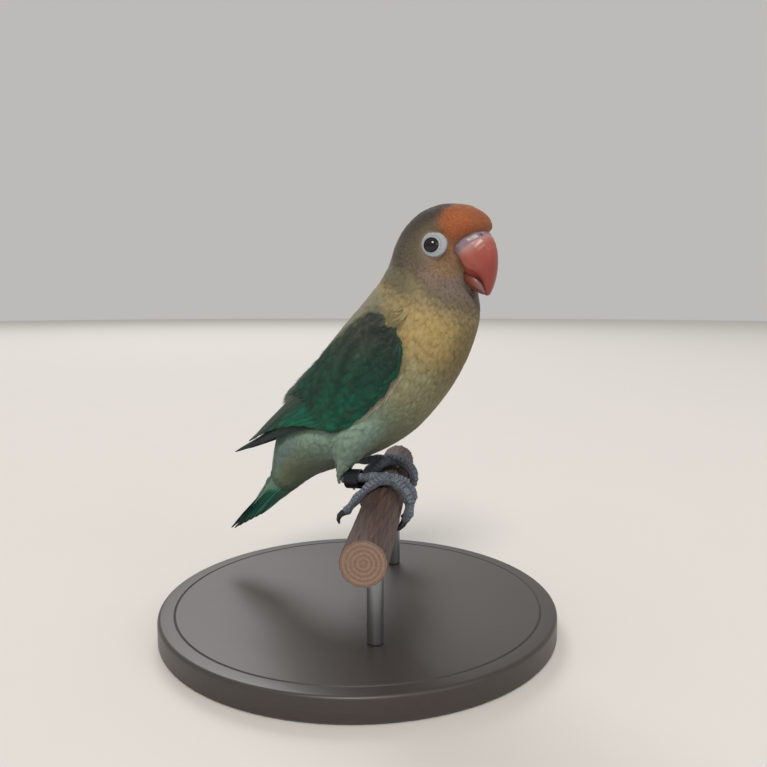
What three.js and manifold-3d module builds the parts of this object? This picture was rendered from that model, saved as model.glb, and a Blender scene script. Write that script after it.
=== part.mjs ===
// A life-size lovebird that grips a cut length of round perch, held by two rods on a plain round base.
// Millimetres, +Z up. The origin is the middle of the base's underside. The perch runs along Y.
// The bird is modelled in a frame of its own, facing +X with its left side at +Y and Z = 0 at the top of the
// perch. Its group then turns it a little towards -Y, and its head turns a little further.
import * as THREE from "three";
import { mergeVertices } from "three/addons/utils/BufferGeometryUtils.js";
import Module from "manifold-3d";

const wasm = await Module();
wasm.setup();

const degrees = THREE.MathUtils.degToRad;
const lerp = THREE.MathUtils.lerp;
const vec = (x, y, z) => new THREE.Vector3(x, y, z);

// Driving dimensions
const GAP = 0.3; // left between pieces that touch
const PERCH_RADIUS = 6.35;
const PERCH_NEAR = 72; // reach of the perch towards -Y, from the middle of the feet
const PERCH_FAR = 54; // reach towards +Y
const PERCH_TOP = 49; // height above the floor
const BASE_RADIUS = 66;
const BASE_THICKNESS = 8;
const BASE_CENTRE = vec(-9, -8, 0); // under the bird, seen from the middle of the feet
const ROD_RADIUS = 2.5;
const ROD_PLACES = [-42, 28]; // along the perch
const BODY_TURN = degrees(-20);
const HEAD_TURN = degrees(-11);
const HEAD_CENTRE = vec(18, 0, 75);
const EYE_RADIUS = 3.1;
const RING_INNER = 2.35; // bare skin round the eye
const RING_OUTER = 4.1;
const FEET_APART = 27;
const TARSUS_RADIUS = 1.6;
const BAND_LENGTH = 5;
const BAND_OUTER = 3.2;
const BAND_INNER = 2.6;
const VANE_THICKNESS = 0.5;

// Finishes
const finish = (color, roughness, metalness = 0) =>
  new THREE.MeshStandardMaterial({ color, roughness, metalness });
const HOOD = finish("#6b5f4c", 0.9);
const NAPE = finish("#a39a67", 0.9);
const PLUMAGE = finish("#93955f", 0.9);
const WING_GREEN = finish("#1c5c49", 0.8);
const TAIL_GREEN = finish("#2d6b58", 0.8);
const BILL_RED = finish("#b04e46", 0.4);
const SKIN_WHITE = finish("#c9d3d8", 0.6);
const EYE_DARK = finish("#14161c", 0.1);
const LEG_GREY = finish("#7d8390", 0.7);
const CLAW_BLACK = finish("#1d1a1c", 0.4);
const BAND_BLACK = finish("#202428", 0.5, 0.6);
const PERCH_WOOD = finish("#5c4540", 0.8);
const BASE_LACQUER = finish("#2a2b2e", 0.45);
const ROD_STEEL = finish("#9a9c9f", 0.35, 1);

// Solids

function toSolid(geometry) {
  const bare = new THREE.BufferGeometry();
  bare.setAttribute("position", geometry.getAttribute("position"));
  if (geometry.index) bare.setIndex(geometry.index);
  const merged = mergeVertices(bare, 1e-4);
  const vertProperties = new Float32Array(merged.attributes.position.array);
  const triVerts = new Uint32Array(merged.index.array);
  return new wasm.Manifold(new wasm.Mesh({ numProp: 3, vertProperties, triVerts }));
}

function toGeometry(solid) {
  const mesh = solid.getMesh();
  const points = new Float32Array(mesh.numVert * 3);
  for (let i = 0; i < mesh.numVert; i++)
    points.set(mesh.vertProperties.subarray(i * mesh.numProp, i * mesh.numProp + 3), i * 3);
  const geometry = new THREE.BufferGeometry();
  geometry.setAttribute("position", new THREE.BufferAttribute(points, 3));
  geometry.setIndex(new THREE.BufferAttribute(mesh.triVerts, 1));
  geometry.computeVertexNormals();
  return geometry;
}

const join = (solids) => solids.reduce((whole, piece) => whole.add(piece));
const cut = (solid, tools) => tools.reduce((left, tool) => left.subtract(tool), solid);
const largest = (solid) => solid.decompose().sort((a, b) => b.volume() - a.volume())[0];

function node(name, solid, material) {
  const mesh = new THREE.Mesh(toGeometry(largest(solid)), material);
  mesh.name = name;
  return mesh;
}

// A closed skin over rings of points, with a flat fan over each end.
function skinOver(rings) {
  const around = rings[0].length;
  const points = rings.flat();
  const faces = [];
  for (let i = 0; i + 1 < rings.length; i++)
    for (let k = 0; k < around; k++) {
      const a = i * around + k;
      const b = i * around + ((k + 1) % around);
      faces.push(a, b, b + around, a, b + around, a + around);
    }
  const ends = [rings[0], rings[rings.length - 1]];
  ends.forEach((ring, end) => {
    const first = end * (rings.length - 1) * around;
    const centre = ring.reduce((sum, p) => sum.add(p), vec(0, 0, 0)).divideScalar(around);
    points.push(centre);
    for (let k = 0; k < around; k++) {
      const a = first + k;
      const b = first + ((k + 1) % around);
      faces.push(points.length - 1, ...(end ? [a, b] : [b, a]));
    }
  });
  const geometry = new THREE.BufferGeometry().setFromPoints(points);
  geometry.setIndex(faces);
  const solid = toSolid(geometry);
  if (solid.volume() > 0) return solid;
  geometry.setIndex(faces.reverse());
  return toSolid(geometry);
}

// A smooth value through evenly spaced rows of numbers, at a place counted in rows.
function through(rows, place) {
  const last = rows.length - 1;
  const at = THREE.MathUtils.clamp(place, 0, last);
  const i = Math.min(Math.floor(at), last - 1);
  const u = at - i;
  const row = (n) => rows[THREE.MathUtils.clamp(n, 0, last)];
  return rows[0].map((_, k) => {
    const [a, b, c, d] = [i - 1, i, i + 1, i + 2].map((n) => row(n)[k]);
    return b + 0.5 * u * (c - a + u * (2 * a - 5 * b + 4 * c - d + u * (3 * (b - c) + d - a)));
  });
}

// A tube of round rings along a smooth path of [x, y, z, radius] rows.
function limb(rows, sides, steps, grow = 0) {
  const at = (t) => through(rows, t * (rows.length - 1));
  const point = (t) => vec(...at(t).slice(0, 3));
  const tangent = (t) => point(Math.min(1, t + 1e-3)).sub(point(Math.max(0, t - 1e-3))).normalize();
  const rings = [];
  let side = Math.abs(tangent(0).z) < 0.9 ? vec(0, 0, 1) : vec(0, 1, 0);
  for (let i = 0; i <= steps; i++) {
    const t = i / steps;
    const along = tangent(t);
    side = side.clone().addScaledVector(along, -side.dot(along)).normalize();
    const other = vec(0, 0, 0).crossVectors(along, side);
    const radius = at(t)[3] + grow;
    const end = i === 0 ? -grow : i === steps ? grow : 0;
    const centre = point(t).addScaledVector(along, end);
    rings.push(
      Array.from({ length: sides }, (_, k) => {
        const turn = (2 * Math.PI * k) / sides;
        return centre
          .clone()
          .addScaledVector(side, radius * Math.cos(turn))
          .addScaledVector(other, radius * Math.sin(turn));
      }),
    );
  }
  return skinOver(rings);
}

// A thin plate along a spine: a flight or tail feather. halfWidth gives its half width at each place from 0 to 1,
// roll turns it about its spine, and its middle stands a little proud of its edges. Both faces are split alike.
function vane({ spine, normal, halfWidth, roll = 0, camber = 0.2, steps = 5 }) {
  const rows = [];
  for (let i = 0; i <= steps; i++) {
    const t = lerp(i / steps, Math.sin((Math.PI / 2) * (i / steps)), 0.5); // closer together near the tip
    const along = spine(Math.min(1, t + 0.02)).sub(spine(Math.max(0, t - 0.02))).normalize();
    const up = normal(t).clone();
    up.addScaledVector(along, -up.dot(along)).normalize().applyAxisAngle(along, roll);
    const side = vec(0, 0, 0).crossVectors(along, up);
    const across = (k) =>
      spine(t)
        .addScaledVector(side, k * halfWidth(t))
        .addScaledVector(up, camber * (1 - k * k));
    rows.push([-1, 0, 1].map((k) => [across(k), across(k).addScaledVector(up, -VANE_THICKNESS)]));
  }
  const points = rows.flat(2);
  const index = (i, k, face) => (i * 3 + k) * 2 + face;
  const faces = [];
  const quad = (a, b, c, d) => faces.push(a, b, c, a, c, d);
  for (let i = 0; i < steps; i++) {
    for (let k = 0; k < 2; k++) {
      quad(index(i, k, 0), index(i, k + 1, 0), index(i + 1, k + 1, 0), index(i + 1, k, 0));
      const [a, b] = [index(i, k, 1), index(i, k + 1, 1)];
      const [c, d] = [index(i + 1, k + 1, 1), index(i + 1, k, 1)];
      faces.push(a, c, b, a, d, c);
    }
    quad(index(i, 0, 1), index(i, 0, 0), index(i + 1, 0, 0), index(i + 1, 0, 1));
    quad(index(i, 2, 0), index(i, 2, 1), index(i + 1, 2, 1), index(i + 1, 2, 0));
  }
  for (const k of [0, 1]) {
    quad(index(0, k, 0), index(0, k, 1), index(0, k + 1, 1), index(0, k + 1, 0));
    quad(index(steps, k, 0), index(steps, k + 1, 0), index(steps, k + 1, 1), index(steps, k, 1));
  }
  const geometry = new THREE.BufferGeometry().setFromPoints(points);
  geometry.setIndex(faces);
  const solid = toSolid(geometry);
  if (solid.volume() > 0) return solid;
  geometry.setIndex(faces.reverse());
  return toSolid(geometry);
}

const mirrored = (solid) => solid.mirror([0, 1, 0]);

// Body: one skin from the tail's root to the crown, in rows of
// [back x, back z, belly x, belly z, half width, sharpness of the front], each a ring that leans with the body.
const BODY_ROWS = [
  [-46.6, -3.0, -38.8, -11.2, 5.8, 1],
  [-44.4, 5.5, -31.0, -4.8, 10.0, 1],
  [-42.0, 13.5, -22.5, -1.0, 13.8, 1],
  [-37.4, 22.3, -11.5, 3.2, 17.2, 1],
  [-31.0, 31.8, 0.0, 8.8, 19.6, 1],
  [-24.5, 40.7, 9.6, 15.2, 21.2, 1],
  [-17.0, 49.3, 18.2, 24.6, 21.8, 1],
  [-10.5, 56.2, 24.6, 34.0, 21.3, 1],
  [-5.2, 61.8, 28.9, 42.6, 20.0, 1],
  [-1.6, 66.4, 31.4, 50.4, 18.2, 1],
  [0.6, 70.0, 32.2, 57.2, 16.6, 1.05],
  [2.2, 73.6, 31.0, 64.4, 15.5, 1.15],
  [3.6, 77.4, 31.4, 71.8, 14.8, 1.35],
  [5.6, 81.5, 36.4, 79.8, 13.7, 1.5],
  [8.8, 85.2, 37.0, 84.0, 12.0, 1.3],
  [13.2, 88.3, 34.2, 87.2, 9.4, 1.1],
  [18.8, 90.2, 29.4, 89.8, 5.2, 1],
];
const CROWN = vec(23.6, 0, 90.6);
const NECK_FROM = 8.4; // rows where the neck and the head begin
const HEAD_FROM = 10.3;
const BODY_SIDES = 32;
const BELLY_FULLNESS = 0.06; // the flanks are fuller below than above

function turnHead(point, place) {
  const share = THREE.MathUtils.smoothstep(place, 8, 12);
  const about = vec(HEAD_CENTRE.x, HEAD_CENTRE.y, 0);
  return point.sub(about).applyAxisAngle(vec(0, 0, 1), HEAD_TURN * share).add(about);
}

function bodyRing(place, grow = 0) {
  const [backX, backZ, bellyX, bellyZ, halfWidth, sharpness] = through(BODY_ROWS, place);
  const centre = vec((backX + bellyX) / 2, 0, (backZ + bellyZ) / 2);
  const up = vec(backX, 0, backZ).sub(centre);
  const reach = up.length() + grow;
  up.normalize();
  return Array.from({ length: BODY_SIDES }, (_, k) => {
    const turn = (2 * Math.PI * k) / BODY_SIDES;
    const full = 1 - BELLY_FULLNESS * Math.sin(turn);
    const slim = Math.sin(turn) < 0 ? Math.abs(Math.cos(turn)) ** (sharpness - 1) : 1;
    const point = centre
      .clone()
      .addScaledVector(up, reach * Math.sin(turn))
      .add(vec(0, -(halfWidth * full * slim + grow) * Math.cos(turn), 0));
    return turnHead(point, place);
  });
}

function bodyLength(from, to, steps, grow = 0) {
  const rings = Array.from({ length: steps + 1 }, (_, i) => bodyRing(lerp(from, to, i / steps), grow));
  const last = BODY_ROWS.length - 1;
  if (to === last) rings.push(bodyRing(last).map((p) => p.lerp(turnHead(CROWN.clone(), last), 0.9)));
  return skinOver(rings);
}

// Head: the head frame has X forward, Y left and Z up from the middle of the head.
const headFrame = new THREE.Matrix4()
  .makeRotationZ(HEAD_TURN)
  .premultiply(new THREE.Matrix4().makeTranslation(HEAD_CENTRE));
const inHead = (solid) => solid.transform(headFrame.elements);

// A bill half: rows of [ridge x, ridge z, edge x, edge z, half width], widest near its cutting edge.
const UPPER_BILL_ROWS = [
  [14.2, 6.6, 7.4, -2.0, 5.5],
  [17.0, 6.2, 9.8, -2.4, 5.8],
  [19.5, 3.9, 12.3, -4.4, 5.6],
  [20.8, 0.4, 14.6, -6.3, 5.0],
  [21.1, -3.8, 16.4, -8.0, 4.1],
  [20.8, -7.8, 17.4, -9.6, 3.1],
  [20.0, -11.2, 17.8, -11.7, 2.0],
  [19.0, -13.6, 18.0, -13.7, 0.8],
];
const LOWER_BILL_ROWS = [
  [7.6, -3.4, 6.2, -8.8, 4.4],
  [10.9, -4.4, 9.6, -10.8, 4.6],
  [13.4, -6.2, 12.9, -12.0, 4.2],
  [15.4, -8.3, 15.4, -12.6, 3.1],
  [16.4, -10.3, 16.5, -12.4, 1.6],
];
const BILL_SIDES = 14;

function billHalf(rows, ridgeShare, grow = 0) {
  const steps = (rows.length - 1) * 2;
  const rings = Array.from({ length: steps + 1 }, (_, i) => {
    const [ridgeX, ridgeZ, edgeX, edgeZ, halfWidth] = through(rows, i / 2);
    const ridge = vec(ridgeX, 0, ridgeZ);
    const edge = vec(edgeX, 0, edgeZ);
    const centre = edge.clone().lerp(ridge, 1 - ridgeShare);
    const up = ridge.clone().sub(edge);
    const length = up.length();
    up.normalize();
    const past = i === 0 ? -grow : i === steps ? grow : 0;
    centre.add(vec(up.z * past, 0, -up.x * past));
    return Array.from({ length: BILL_SIDES }, (_, k) => {
      const turn = (2 * Math.PI * k) / BILL_SIDES;
      const share = Math.sin(turn) > 0 ? ridgeShare : 1 - ridgeShare;
      return centre
        .clone()
        .addScaledVector(up, (length * share + grow) * Math.sin(turn))
        .add(vec(0, -(halfWidth + grow) * Math.cos(turn), 0));
    });
  });
  return inHead(skinOver(rings));
}

// A nostril is a small pit at each side of the bill's top.
const NOSTRIL_PLACE = vec(17.9, 2.9, 4.9);
const nostrils = () =>
  [-1, 1].map((side) => {
    const pit = new THREE.SphereGeometry(0.6, 8, 6);
    return inHead(toSolid(pit.translate(NOSTRIL_PLACE.x, side * NOSTRIL_PLACE.y, NOSTRIL_PLACE.z)));
  });

// Eye: its frame has Z out of the head, X forward and Y up.
const EYE_PLACE = vec(5.6, -12.7, 1.4);
const EYE_OUT = vec(0.36, -0.92, 0.13).normalize();
const eyeFrame = new THREE.Matrix4().makeBasis(
  vec(0, 0, 1).cross(EYE_OUT).normalize(),
  EYE_OUT.clone().cross(vec(0, 0, 1).cross(EYE_OUT)).normalize(),
  EYE_OUT,
).setPosition(EYE_PLACE);
const EYE_DEPTH = -1.9;
const RING_SHIFT = vec(0.9, 0.4, 0); // the bare ring is wider before and above the eye

function inEye(solid, side) {
  const placed = solid.transform(eyeFrame.elements);
  return inHead(side < 0 ? placed : mirrored(placed));
}

function eyeball(grow = 0) {
  const ball = new THREE.SphereGeometry(EYE_RADIUS + grow, 16, 8);
  return toSolid(ball.rotateX(Math.PI / 2).translate(0, 0, EYE_DEPTH));
}

// A round form about the eye's axis from rows of [radius, height], shifted outside the lids.
function aroundEye(rows) {
  const profile = rows.map(([radius, height]) => new THREE.Vector2(radius, height));
  const lathe = new THREE.LatheGeometry(profile, 16).rotateX(Math.PI / 2);
  const place = lathe.getAttribute("position");
  for (let i = 0; i < place.count; i++) {
    const reach = Math.hypot(place.getX(i), place.getY(i));
    const share = THREE.MathUtils.clamp((reach - RING_INNER) / (RING_OUTER - RING_INNER), 0, 1);
    place.setX(i, place.getX(i) + RING_SHIFT.x * share);
    place.setY(i, place.getY(i) + RING_SHIFT.y * share);
  }
  const solid = toSolid(lathe);
  if (solid.volume() > 0) return solid;
  lathe.index.array.reverse();
  return toSolid(lathe);
}

const eyeRing = () =>
  aroundEye([
    [0, -1.6],
    [RING_OUTER - 0.3, -1.6],
    [RING_OUTER, -0.3],
    [RING_OUTER - 0.35, 0.2],
    [lerp(RING_INNER, RING_OUTER, 0.4), 0.55],
    [RING_INNER, 0.5],
    [0, 0.5],
  ]);

// The room that the ring and the eye keep in the head, open to the outside.
const eyeSocket = (grow) =>
  aroundEye([
    [0, -1.6 - grow],
    [RING_OUTER - 0.3 + grow, -1.6 - grow],
    [RING_OUTER + grow, -0.3],
    [RING_OUTER + grow + 0.1, 3],
    [0, 3],
  ]);

// Wing: a curved sheet between the wing's upper and lower edges carries its feathers.
// Rows of [upper edge x, y, z, lower edge x, y, z], from the shoulder to the tip, for the right wing.
const WING_ROWS = [
  [7.6, -19.4, 54.0, 11.0, -20.8, 50.0],
  [3.4, -18.9, 55.2, 13.6, -21.3, 45.0],
  [-1.8, -17.8, 52.8, 13.4, -21.3, 39.6],
  [-8.2, -17.0, 48.4, 9.6, -21.4, 33.6],
  [-15.4, -15.6, 42.6, 3.6, -21.4, 27.2],
  [-22.4, -13.4, 36.6, -3.6, -21.0, 21.6],
  [-29.2, -11.2, 30.8, -11.0, -20.2, 17.4],
  [-35.4, -8.8, 26.0, -19.4, -19.2, 16.4],
  [-41.4, -7.2, 20.6, -28.0, -17.4, 14.4],
  [-46.6, -6.1, 16.0, -37.6, -13.2, 11.0],
  [-52.4, -5.2, 10.8, -47.0, -8.8, 8.0],
  [-61.8, -4.5, 4.1, -61.4, -4.8, 3.7],
];
const WING_BULGE = 2.2;
const WING_BED = [5.2, 3.0]; // how far inside the sheet the feathers' bed lies, at the shoulder and further on
const WING_LENGTH = 82;
const SHOULDER_OUT = vec(0.55, 0, 0.83); // in the sheet, ahead of the shoulder
const WING_CORE_END = 0.6; // how far along the wing its flesh reaches

// A point of the sheet: s from the shoulder to the tip, q from the upper edge to the lower.
function onSheet(s, q) {
  const row = through(WING_ROWS, s * (WING_ROWS.length - 1));
  const bulge = WING_BULGE * Math.sin(Math.PI * THREE.MathUtils.clamp(0.12 + s * 0.9, 0, 1)) * 4 * q * (1 - q);
  const [upper, lower] = [vec(...row.slice(0, 3)), vec(...row.slice(3, 6))];
  const point = upper.lerp(lower, q).add(vec(0, -bulge, bulge * 0.35));
  return point.addScaledVector(SHOULDER_OUT, -Math.min(s, 0) * WING_LENGTH);
}

function wingNormal(s, q) {
  const at = THREE.MathUtils.clamp(s, 0.1, 0.9);
  const over = lerp(0.5, q, THREE.MathUtils.smoothstep(s, 0, 0.25)); // one direction for the whole shoulder
  const along = onSheet(at + 0.04, over).sub(onSheet(at - 0.02, over));
  const across = onSheet(at, over + 0.05).sub(onSheet(at, over - 0.05));
  return along.cross(across).normalize();
}

function onWing(s, q, height) {
  const bed = lerp(...WING_BED, THREE.MathUtils.smoothstep(s, 0.3, 0.7));
  return onSheet(s, q).addScaledVector(wingNormal(s, q), height - bed);
}
const wingChord = (s) => onSheet(s, 0).distanceTo(onSheet(s, 1));

// A block of the sheet between two heights, each a function of s and q, that reaches past the edges by a margin.
function wingBlock([s0, s1], margin, low, high, rows, columns) {
  const rings = Array.from({ length: rows + 1 }, (_, i) => {
    const s = lerp(s0, s1, i / rows);
    const slant = 1 - THREE.MathUtils.smoothstep(s, 0.08, 0.25); // near the shoulder the edges slant to the rows
    const [above, below] = [0.6, 1.6].map((more) => ((1 + more * slant) * margin) / Math.max(wingChord(s), 2));
    const line = (height) =>
      Array.from({ length: columns + 1 }, (_, k) => {
        const q = lerp(-above, 1 + below, k / columns);
        return onWing(s, q, height(s, q));
      });
    return [...line(low), ...line(high).reverse()];
  });
  return skinOver(rings);
}

// Tiers of wing feathers, each feather a little under the one above it, and each tier over the next one's roots.
// tips gives each feather's end along the wing. In places, the feathers stand a spacing apart from the first one's
// distance from an edge of the wing, or at even shares of its breadth.
const WING_TIERS = [
  {
    name: "primaries",
    edge: "lower",
    first: 2.4,
    spacing: 3.3,
    root: 0.5,
    tips: [0.998, 0.905, 0.86],
    heights: [1.6, 1.6],
    rise: [0, 0.3],
    halfWidth: 2.1,
    taper: [0.6, 1.7],
    steps: 6,
  },
  {
    name: "secondaries",
    edge: "upper",
    first: 2.9,
    spacing: 3.9,
    root: 0.2,
    rootStep: 0.022,
    tips: [0.9, 0.86, 0.81, 0.755, 0.68, 0.56],
    heights: [1.7, 3.3],
    rise: [0, 0.45],
    halfWidth: 2.85,
    taper: [0.78, 2.4],
    steps: 6,
  },
  {
    name: "greater coverts",
    edge: "shares",
    first: 0.11,
    spacing: 0.157,
    root: 0.12,
    tips: [0.54, 0.525, 0.505, 0.485, 0.46, 0.43],
    heights: [2.2, 5.1],
    rise: [0.1, 0.7],
    halfWidth: 2.7,
    taper: [0.65, 3],
    steps: 4,
  },
  {
    name: "median coverts",
    edge: "shares",
    first: 0.14,
    spacing: 0.175,
    root: 0.07,
    tips: [0.32, 0.305, 0.295, 0.28, 0.26],
    heights: [3.4, 6.3],
    rise: [0.15, 0.6],
    halfWidth: 2.8,
    taper: [0.55, 3],
    steps: 3,
  },
];
const VANE_RISE = 0.95; // how much higher a feather lies than the one under it, where they overlap

// A feather's half width: it widens from the root, then narrows to its tip from the given place on.
const outline = (halfWidth, [from, power]) => (t) => {
  const root = lerp(0.6, 1, THREE.MathUtils.smoothstep(t, 0, 0.3));
  const past = Math.max(0, (t - from) / (1 - from));
  return halfWidth * root * Math.max(1 - past ** power, 0.1);
};

function wingVanes(tier) {
  return tier.tips.map((tip, i) => {
    const s = (t) => lerp(tier.root + (tier.rootStep ?? 0) * i, tip, t);
    const distance = tier.first + tier.spacing * i;
    const q = (t) => {
      if (tier.edge === "shares") return distance;
      const chord = Math.max(wingChord(s(t)), 0.1);
      const share = Math.min(distance, Math.max(chord - 0.85 * tier.halfWidth, chord / 2)) / chord;
      return tier.edge === "upper" ? share : 1 - share;
    };
    const height = (t) => lerp(...tier.heights, THREE.MathUtils.smoothstep(t, ...tier.rise));
    const spacing = tier.edge === "shares" ? tier.spacing * wingChord(s(0.8)) : tier.spacing;
    return vane({
      spine: (t) => onWing(s(t), q(t), height(t)),
      normal: (t) => wingNormal(s(t), q(t)),
      halfWidth: outline(tier.halfWidth, tier.taper),
      roll: Math.asin(VANE_RISE / spacing),
      steps: tier.steps,
    });
  });
}

const coreHeight = (s, q) => {
  const front = Math.sqrt(THREE.MathUtils.clamp(s / 0.1, 0, 1));
  const back = THREE.MathUtils.smoothstep(s, 0.24, 0.34);
  return lerp((3.9 + 1.1 * front) * (1 - 0.2 * (2 * q - 1) ** 4), 1.1, back);
};
const wingCore = () => wingBlock([0, WING_CORE_END], 0, () => 0, coreHeight, 10, 5);
const recessDepth = (s) => -0.3 - 0.6 * (1 - THREE.MathUtils.smoothstep(s, 0.08, 0.25));

// The room that the wing keeps to, and the recess that holds it with a gap all round.
const wingRoom = (gap) =>
  wingBlock([-0.015 - (1.6 * gap) / WING_LENGTH, 1.02], 1.3 + gap, (s) => recessDepth(s) - gap, () => 13, 18, 6);
const rightWing = () => join([wingCore(), ...WING_TIERS.flatMap(wingVanes)]).intersect(wingRoom(0));
const wingRecess = () => wingRoom(0.5);

// Tail: a short root and six pairs of feathers, the middle pair longest and on top, each further pair lower.
const TAIL_ROOT = vec(-42.8, 0, -7.3);
const TAIL_TIP = vec(-63.9, 0, -28.3);
const TAIL_LENGTH = TAIL_TIP.distanceTo(TAIL_ROOT);
const tailAlong = TAIL_TIP.clone().sub(TAIL_ROOT).normalize();
const tailUp = vec(tailAlong.z, 0, -tailAlong.x);
const TAIL_PAIRS = 6;
const TAIL_STEP = 0.85; // one feather lies this far under the next

function tailVanes() {
  const pairs = Array.from({ length: TAIL_PAIRS }, (_, i) => i);
  return pairs.flatMap((i) =>
    [-1, 1].map((side) => {
      const middle = i === 0;
      const widest = middle ? 3.5 : 3.0;
      const halfWidth = outline(widest, [0.35, 1.5]);
      const length = TAIL_LENGTH * (1 - 0.085 * i);
      const level = 2.3 - TAIL_STEP * (i + (middle && side > 0 ? 1 : i > 0 ? 1 : 0));
      const across = (t) => (middle ? side * 0.7 : side * (0.2 + halfWidth(t) + 0.36 * i * (1 - 0.5 * t)));
      return vane({
        spine: (t) =>
          TAIL_ROOT.clone()
            .addScaledVector(tailAlong, 1.6 + (length - 1.6) * t)
            .addScaledVector(tailUp, level * (1 - 0.15 * t))
            .add(vec(0, across(t), 0)),
        normal: () => tailUp,
        halfWidth,
        steps: 5,
      });
    }),
  );
}

function tail() {
  const root = limb(
    [0, 3, 6, 9].map((far, i) => [
      ...TAIL_ROOT.clone().addScaledVector(tailAlong, far + GAP).addScaledVector(tailUp, -0.2).toArray(),
      [5.2, 4.8, 3.8, 2.0][i],
    ]),
    14,
    4,
  );
  return join([root, ...tailVanes()]);
}

// Legs: places in the perch frame, across the perch, along it and up from its top, become bird places.
const perchToBird = (across, along, up) =>
  vec(across, along, up).applyAxisAngle(vec(0, 0, 1), -BODY_TURN);
const legRows = (rows) => rows.map(([a, b, c, r]) => [...perchToBird(a, b, c).toArray(), r]);

// One leg's rows of [across, along, up, radius]. side is -1 for the right leg, and the along values run outwards.
// Behind the foot the leg leans along the perch, in line with the body.
const LEG_LEAN = -Math.tan(-BODY_TURN);
function legShapes(side, foot) {
  const place = (lean) => (rows) =>
    legRows(rows.map(([a, b, c, r]) => [a + foot.across, foot.along + side * b + lean * Math.min(a, 0), c, r]));
  return {
    thigh: place(LEG_LEAN)(foot.thigh),
    tarsus: place(LEG_LEAN)(foot.tarsus),
    toes: foot.toes.map(place(0)),
    claws: foot.claws.map(place(0)),
  };
}

const FRONT_OUTER = [
  [0.5, 1.5, 2.0, 2.0],
  [4.0, 3.6, 1.7, 1.85],
  [7.2, 5.2, -1.0, 1.75],
  [8.6, 6.0, -4.4, 1.8],
  [8.2, 6.4, -7.6, 1.65],
  [7.2, 6.5, -9.4, 1.2],
];
const FRONT_INNER = [
  [0.6, 0.2, 2.0, 1.9],
  [4.2, -0.8, 1.9, 1.8],
  [7.6, -1.4, -0.7, 1.7],
  [9.0, -1.6, -3.8, 1.7],
  [8.6, -1.6, -6.4, 1.3],
];
const BACK_OUTER = [
  [-0.5, 1.2, 2.0, 2.0],
  [-3.2, 3.6, 1.2, 1.8],
  [-6.4, 5.6, -1.2, 1.65],
  [-9.0, 6.6, -4.0, 1.6],
  [-11.2, 7.2, -6.6, 1.25],
];
const BACK_INNER = [
  [-0.8, -0.4, 2.0, 1.8],
  [-3.4, -4.2, 0.9, 1.6],
  [-6.2, -6.6, -1.8, 1.5],
  [-7.8, -7.2, -4.9, 1.5],
  [-8.0, -7.4, -7.4, 1.2],
];
const CLAWS = {
  frontOuter: [
    [6.9, 6.6, -9.9, 0.95],
    [5.9, 6.7, -11.6, 0.75],
    [4.4, 6.7, -12.6, 0.5],
    [2.9, 6.7, -12.9, 0.15],
  ],
  frontInner: [
    [8.4, -1.6, -6.9, 0.95],
    [7.8, -1.6, -8.6, 0.75],
    [6.6, -1.6, -10.0, 0.5],
    [5.4, -1.6, -10.8, 0.15],
  ],
  backOuter: [
    [-11.7, 7.3, -7.1, 0.95],
    [-13.2, 7.5, -7.8, 0.75],
    [-14.1, 7.6, -9.2, 0.5],
    [-13.8, 7.6, -10.8, 0.15],
  ],
  backInner: [
    [-7.9, -7.4, -8.2, 0.95],
    [-7.3, -7.4, -9.7, 0.75],
    [-6.2, -7.4, -11.1, 0.5],
    [-4.8, -7.4, -11.9, 0.15],
  ],
};
const TOES = [FRONT_OUTER, FRONT_INNER, BACK_OUTER, BACK_INNER];
const CLAW_NAMES = ["front_outer", "front_inner", "back_outer", "back_inner"];
const TARSUS = [
  [-14.4, 0.4, 0.9, 1.5],
  [-11.5, 0.4, 1.2, TARSUS_RADIUS],
  [-6.5, 0.3, 1.7, TARSUS_RADIUS],
  [-2.0, 0.1, 2.1, 1.9],
  [0.6, 0.4, 2.1, 2.2],
];
const FEET = {
  right: {
    side: -1,
    across: 0.4,
    along: -FEET_APART / 2 - 1.5,
    thigh: [
      [-8.0, -7.0, 28.0, 6.5],
      [-9.0, -1.6, 20.6, 8.2],
      [-11.2, 0.6, 13.0, 7.1],
      [-13.2, 0.9, 6.6, 4.4],
      [-14.8, 0.9, 1.6, 2.3],
      [-15.3, 0.6, -2.0, 0.9],
    ],
  },
  left: {
    side: 1,
    across: -0.4,
    along: FEET_APART / 2,
    thigh: [
      [-8.0, -6.0, 28.0, 6.5],
      [-9.0, 0.4, 20.6, 8.2],
      [-11.0, 2.4, 13.0, 7.1],
      [-12.8, 2.4, 6.6, 4.4],
      [-14.4, 1.8, 1.6, 2.3],
      [-15.0, 1.0, -2.0, 0.9],
    ],
  },
};
for (const foot of Object.values(FEET)) {
  foot.tarsus = TARSUS;
  foot.toes = TOES;
  foot.claws = Object.values(CLAWS);
}

// Perch: a round stick with shallow flutes on the side away from the front toes.
const PERCH_SIDES = 28;
const PERCH_FLUTE_DEPTH = 0.35;

function perchStick(grow = 0, near = PERCH_NEAR, far = PERCH_FAR) {
  const outlineShape = new THREE.Shape(
    Array.from({ length: PERCH_SIDES }, (_, k) => {
      const turn = (2 * Math.PI * k) / PERCH_SIDES;
      const fluted = grow === 0 && k % 2 === 1 && Math.cos(turn) < -0.1;
      const radius = PERCH_RADIUS + grow - (fluted ? PERCH_FLUTE_DEPTH : 0);
      return new THREE.Vector2(radius * Math.cos(turn), radius * Math.sin(turn));
    }),
  );
  const stick = new THREE.ExtrudeGeometry(outlineShape, { depth: near + far, bevelEnabled: false });
  return toSolid(stick.rotateX(Math.PI / 2).translate(0, far, -PERCH_RADIUS));
}

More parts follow.
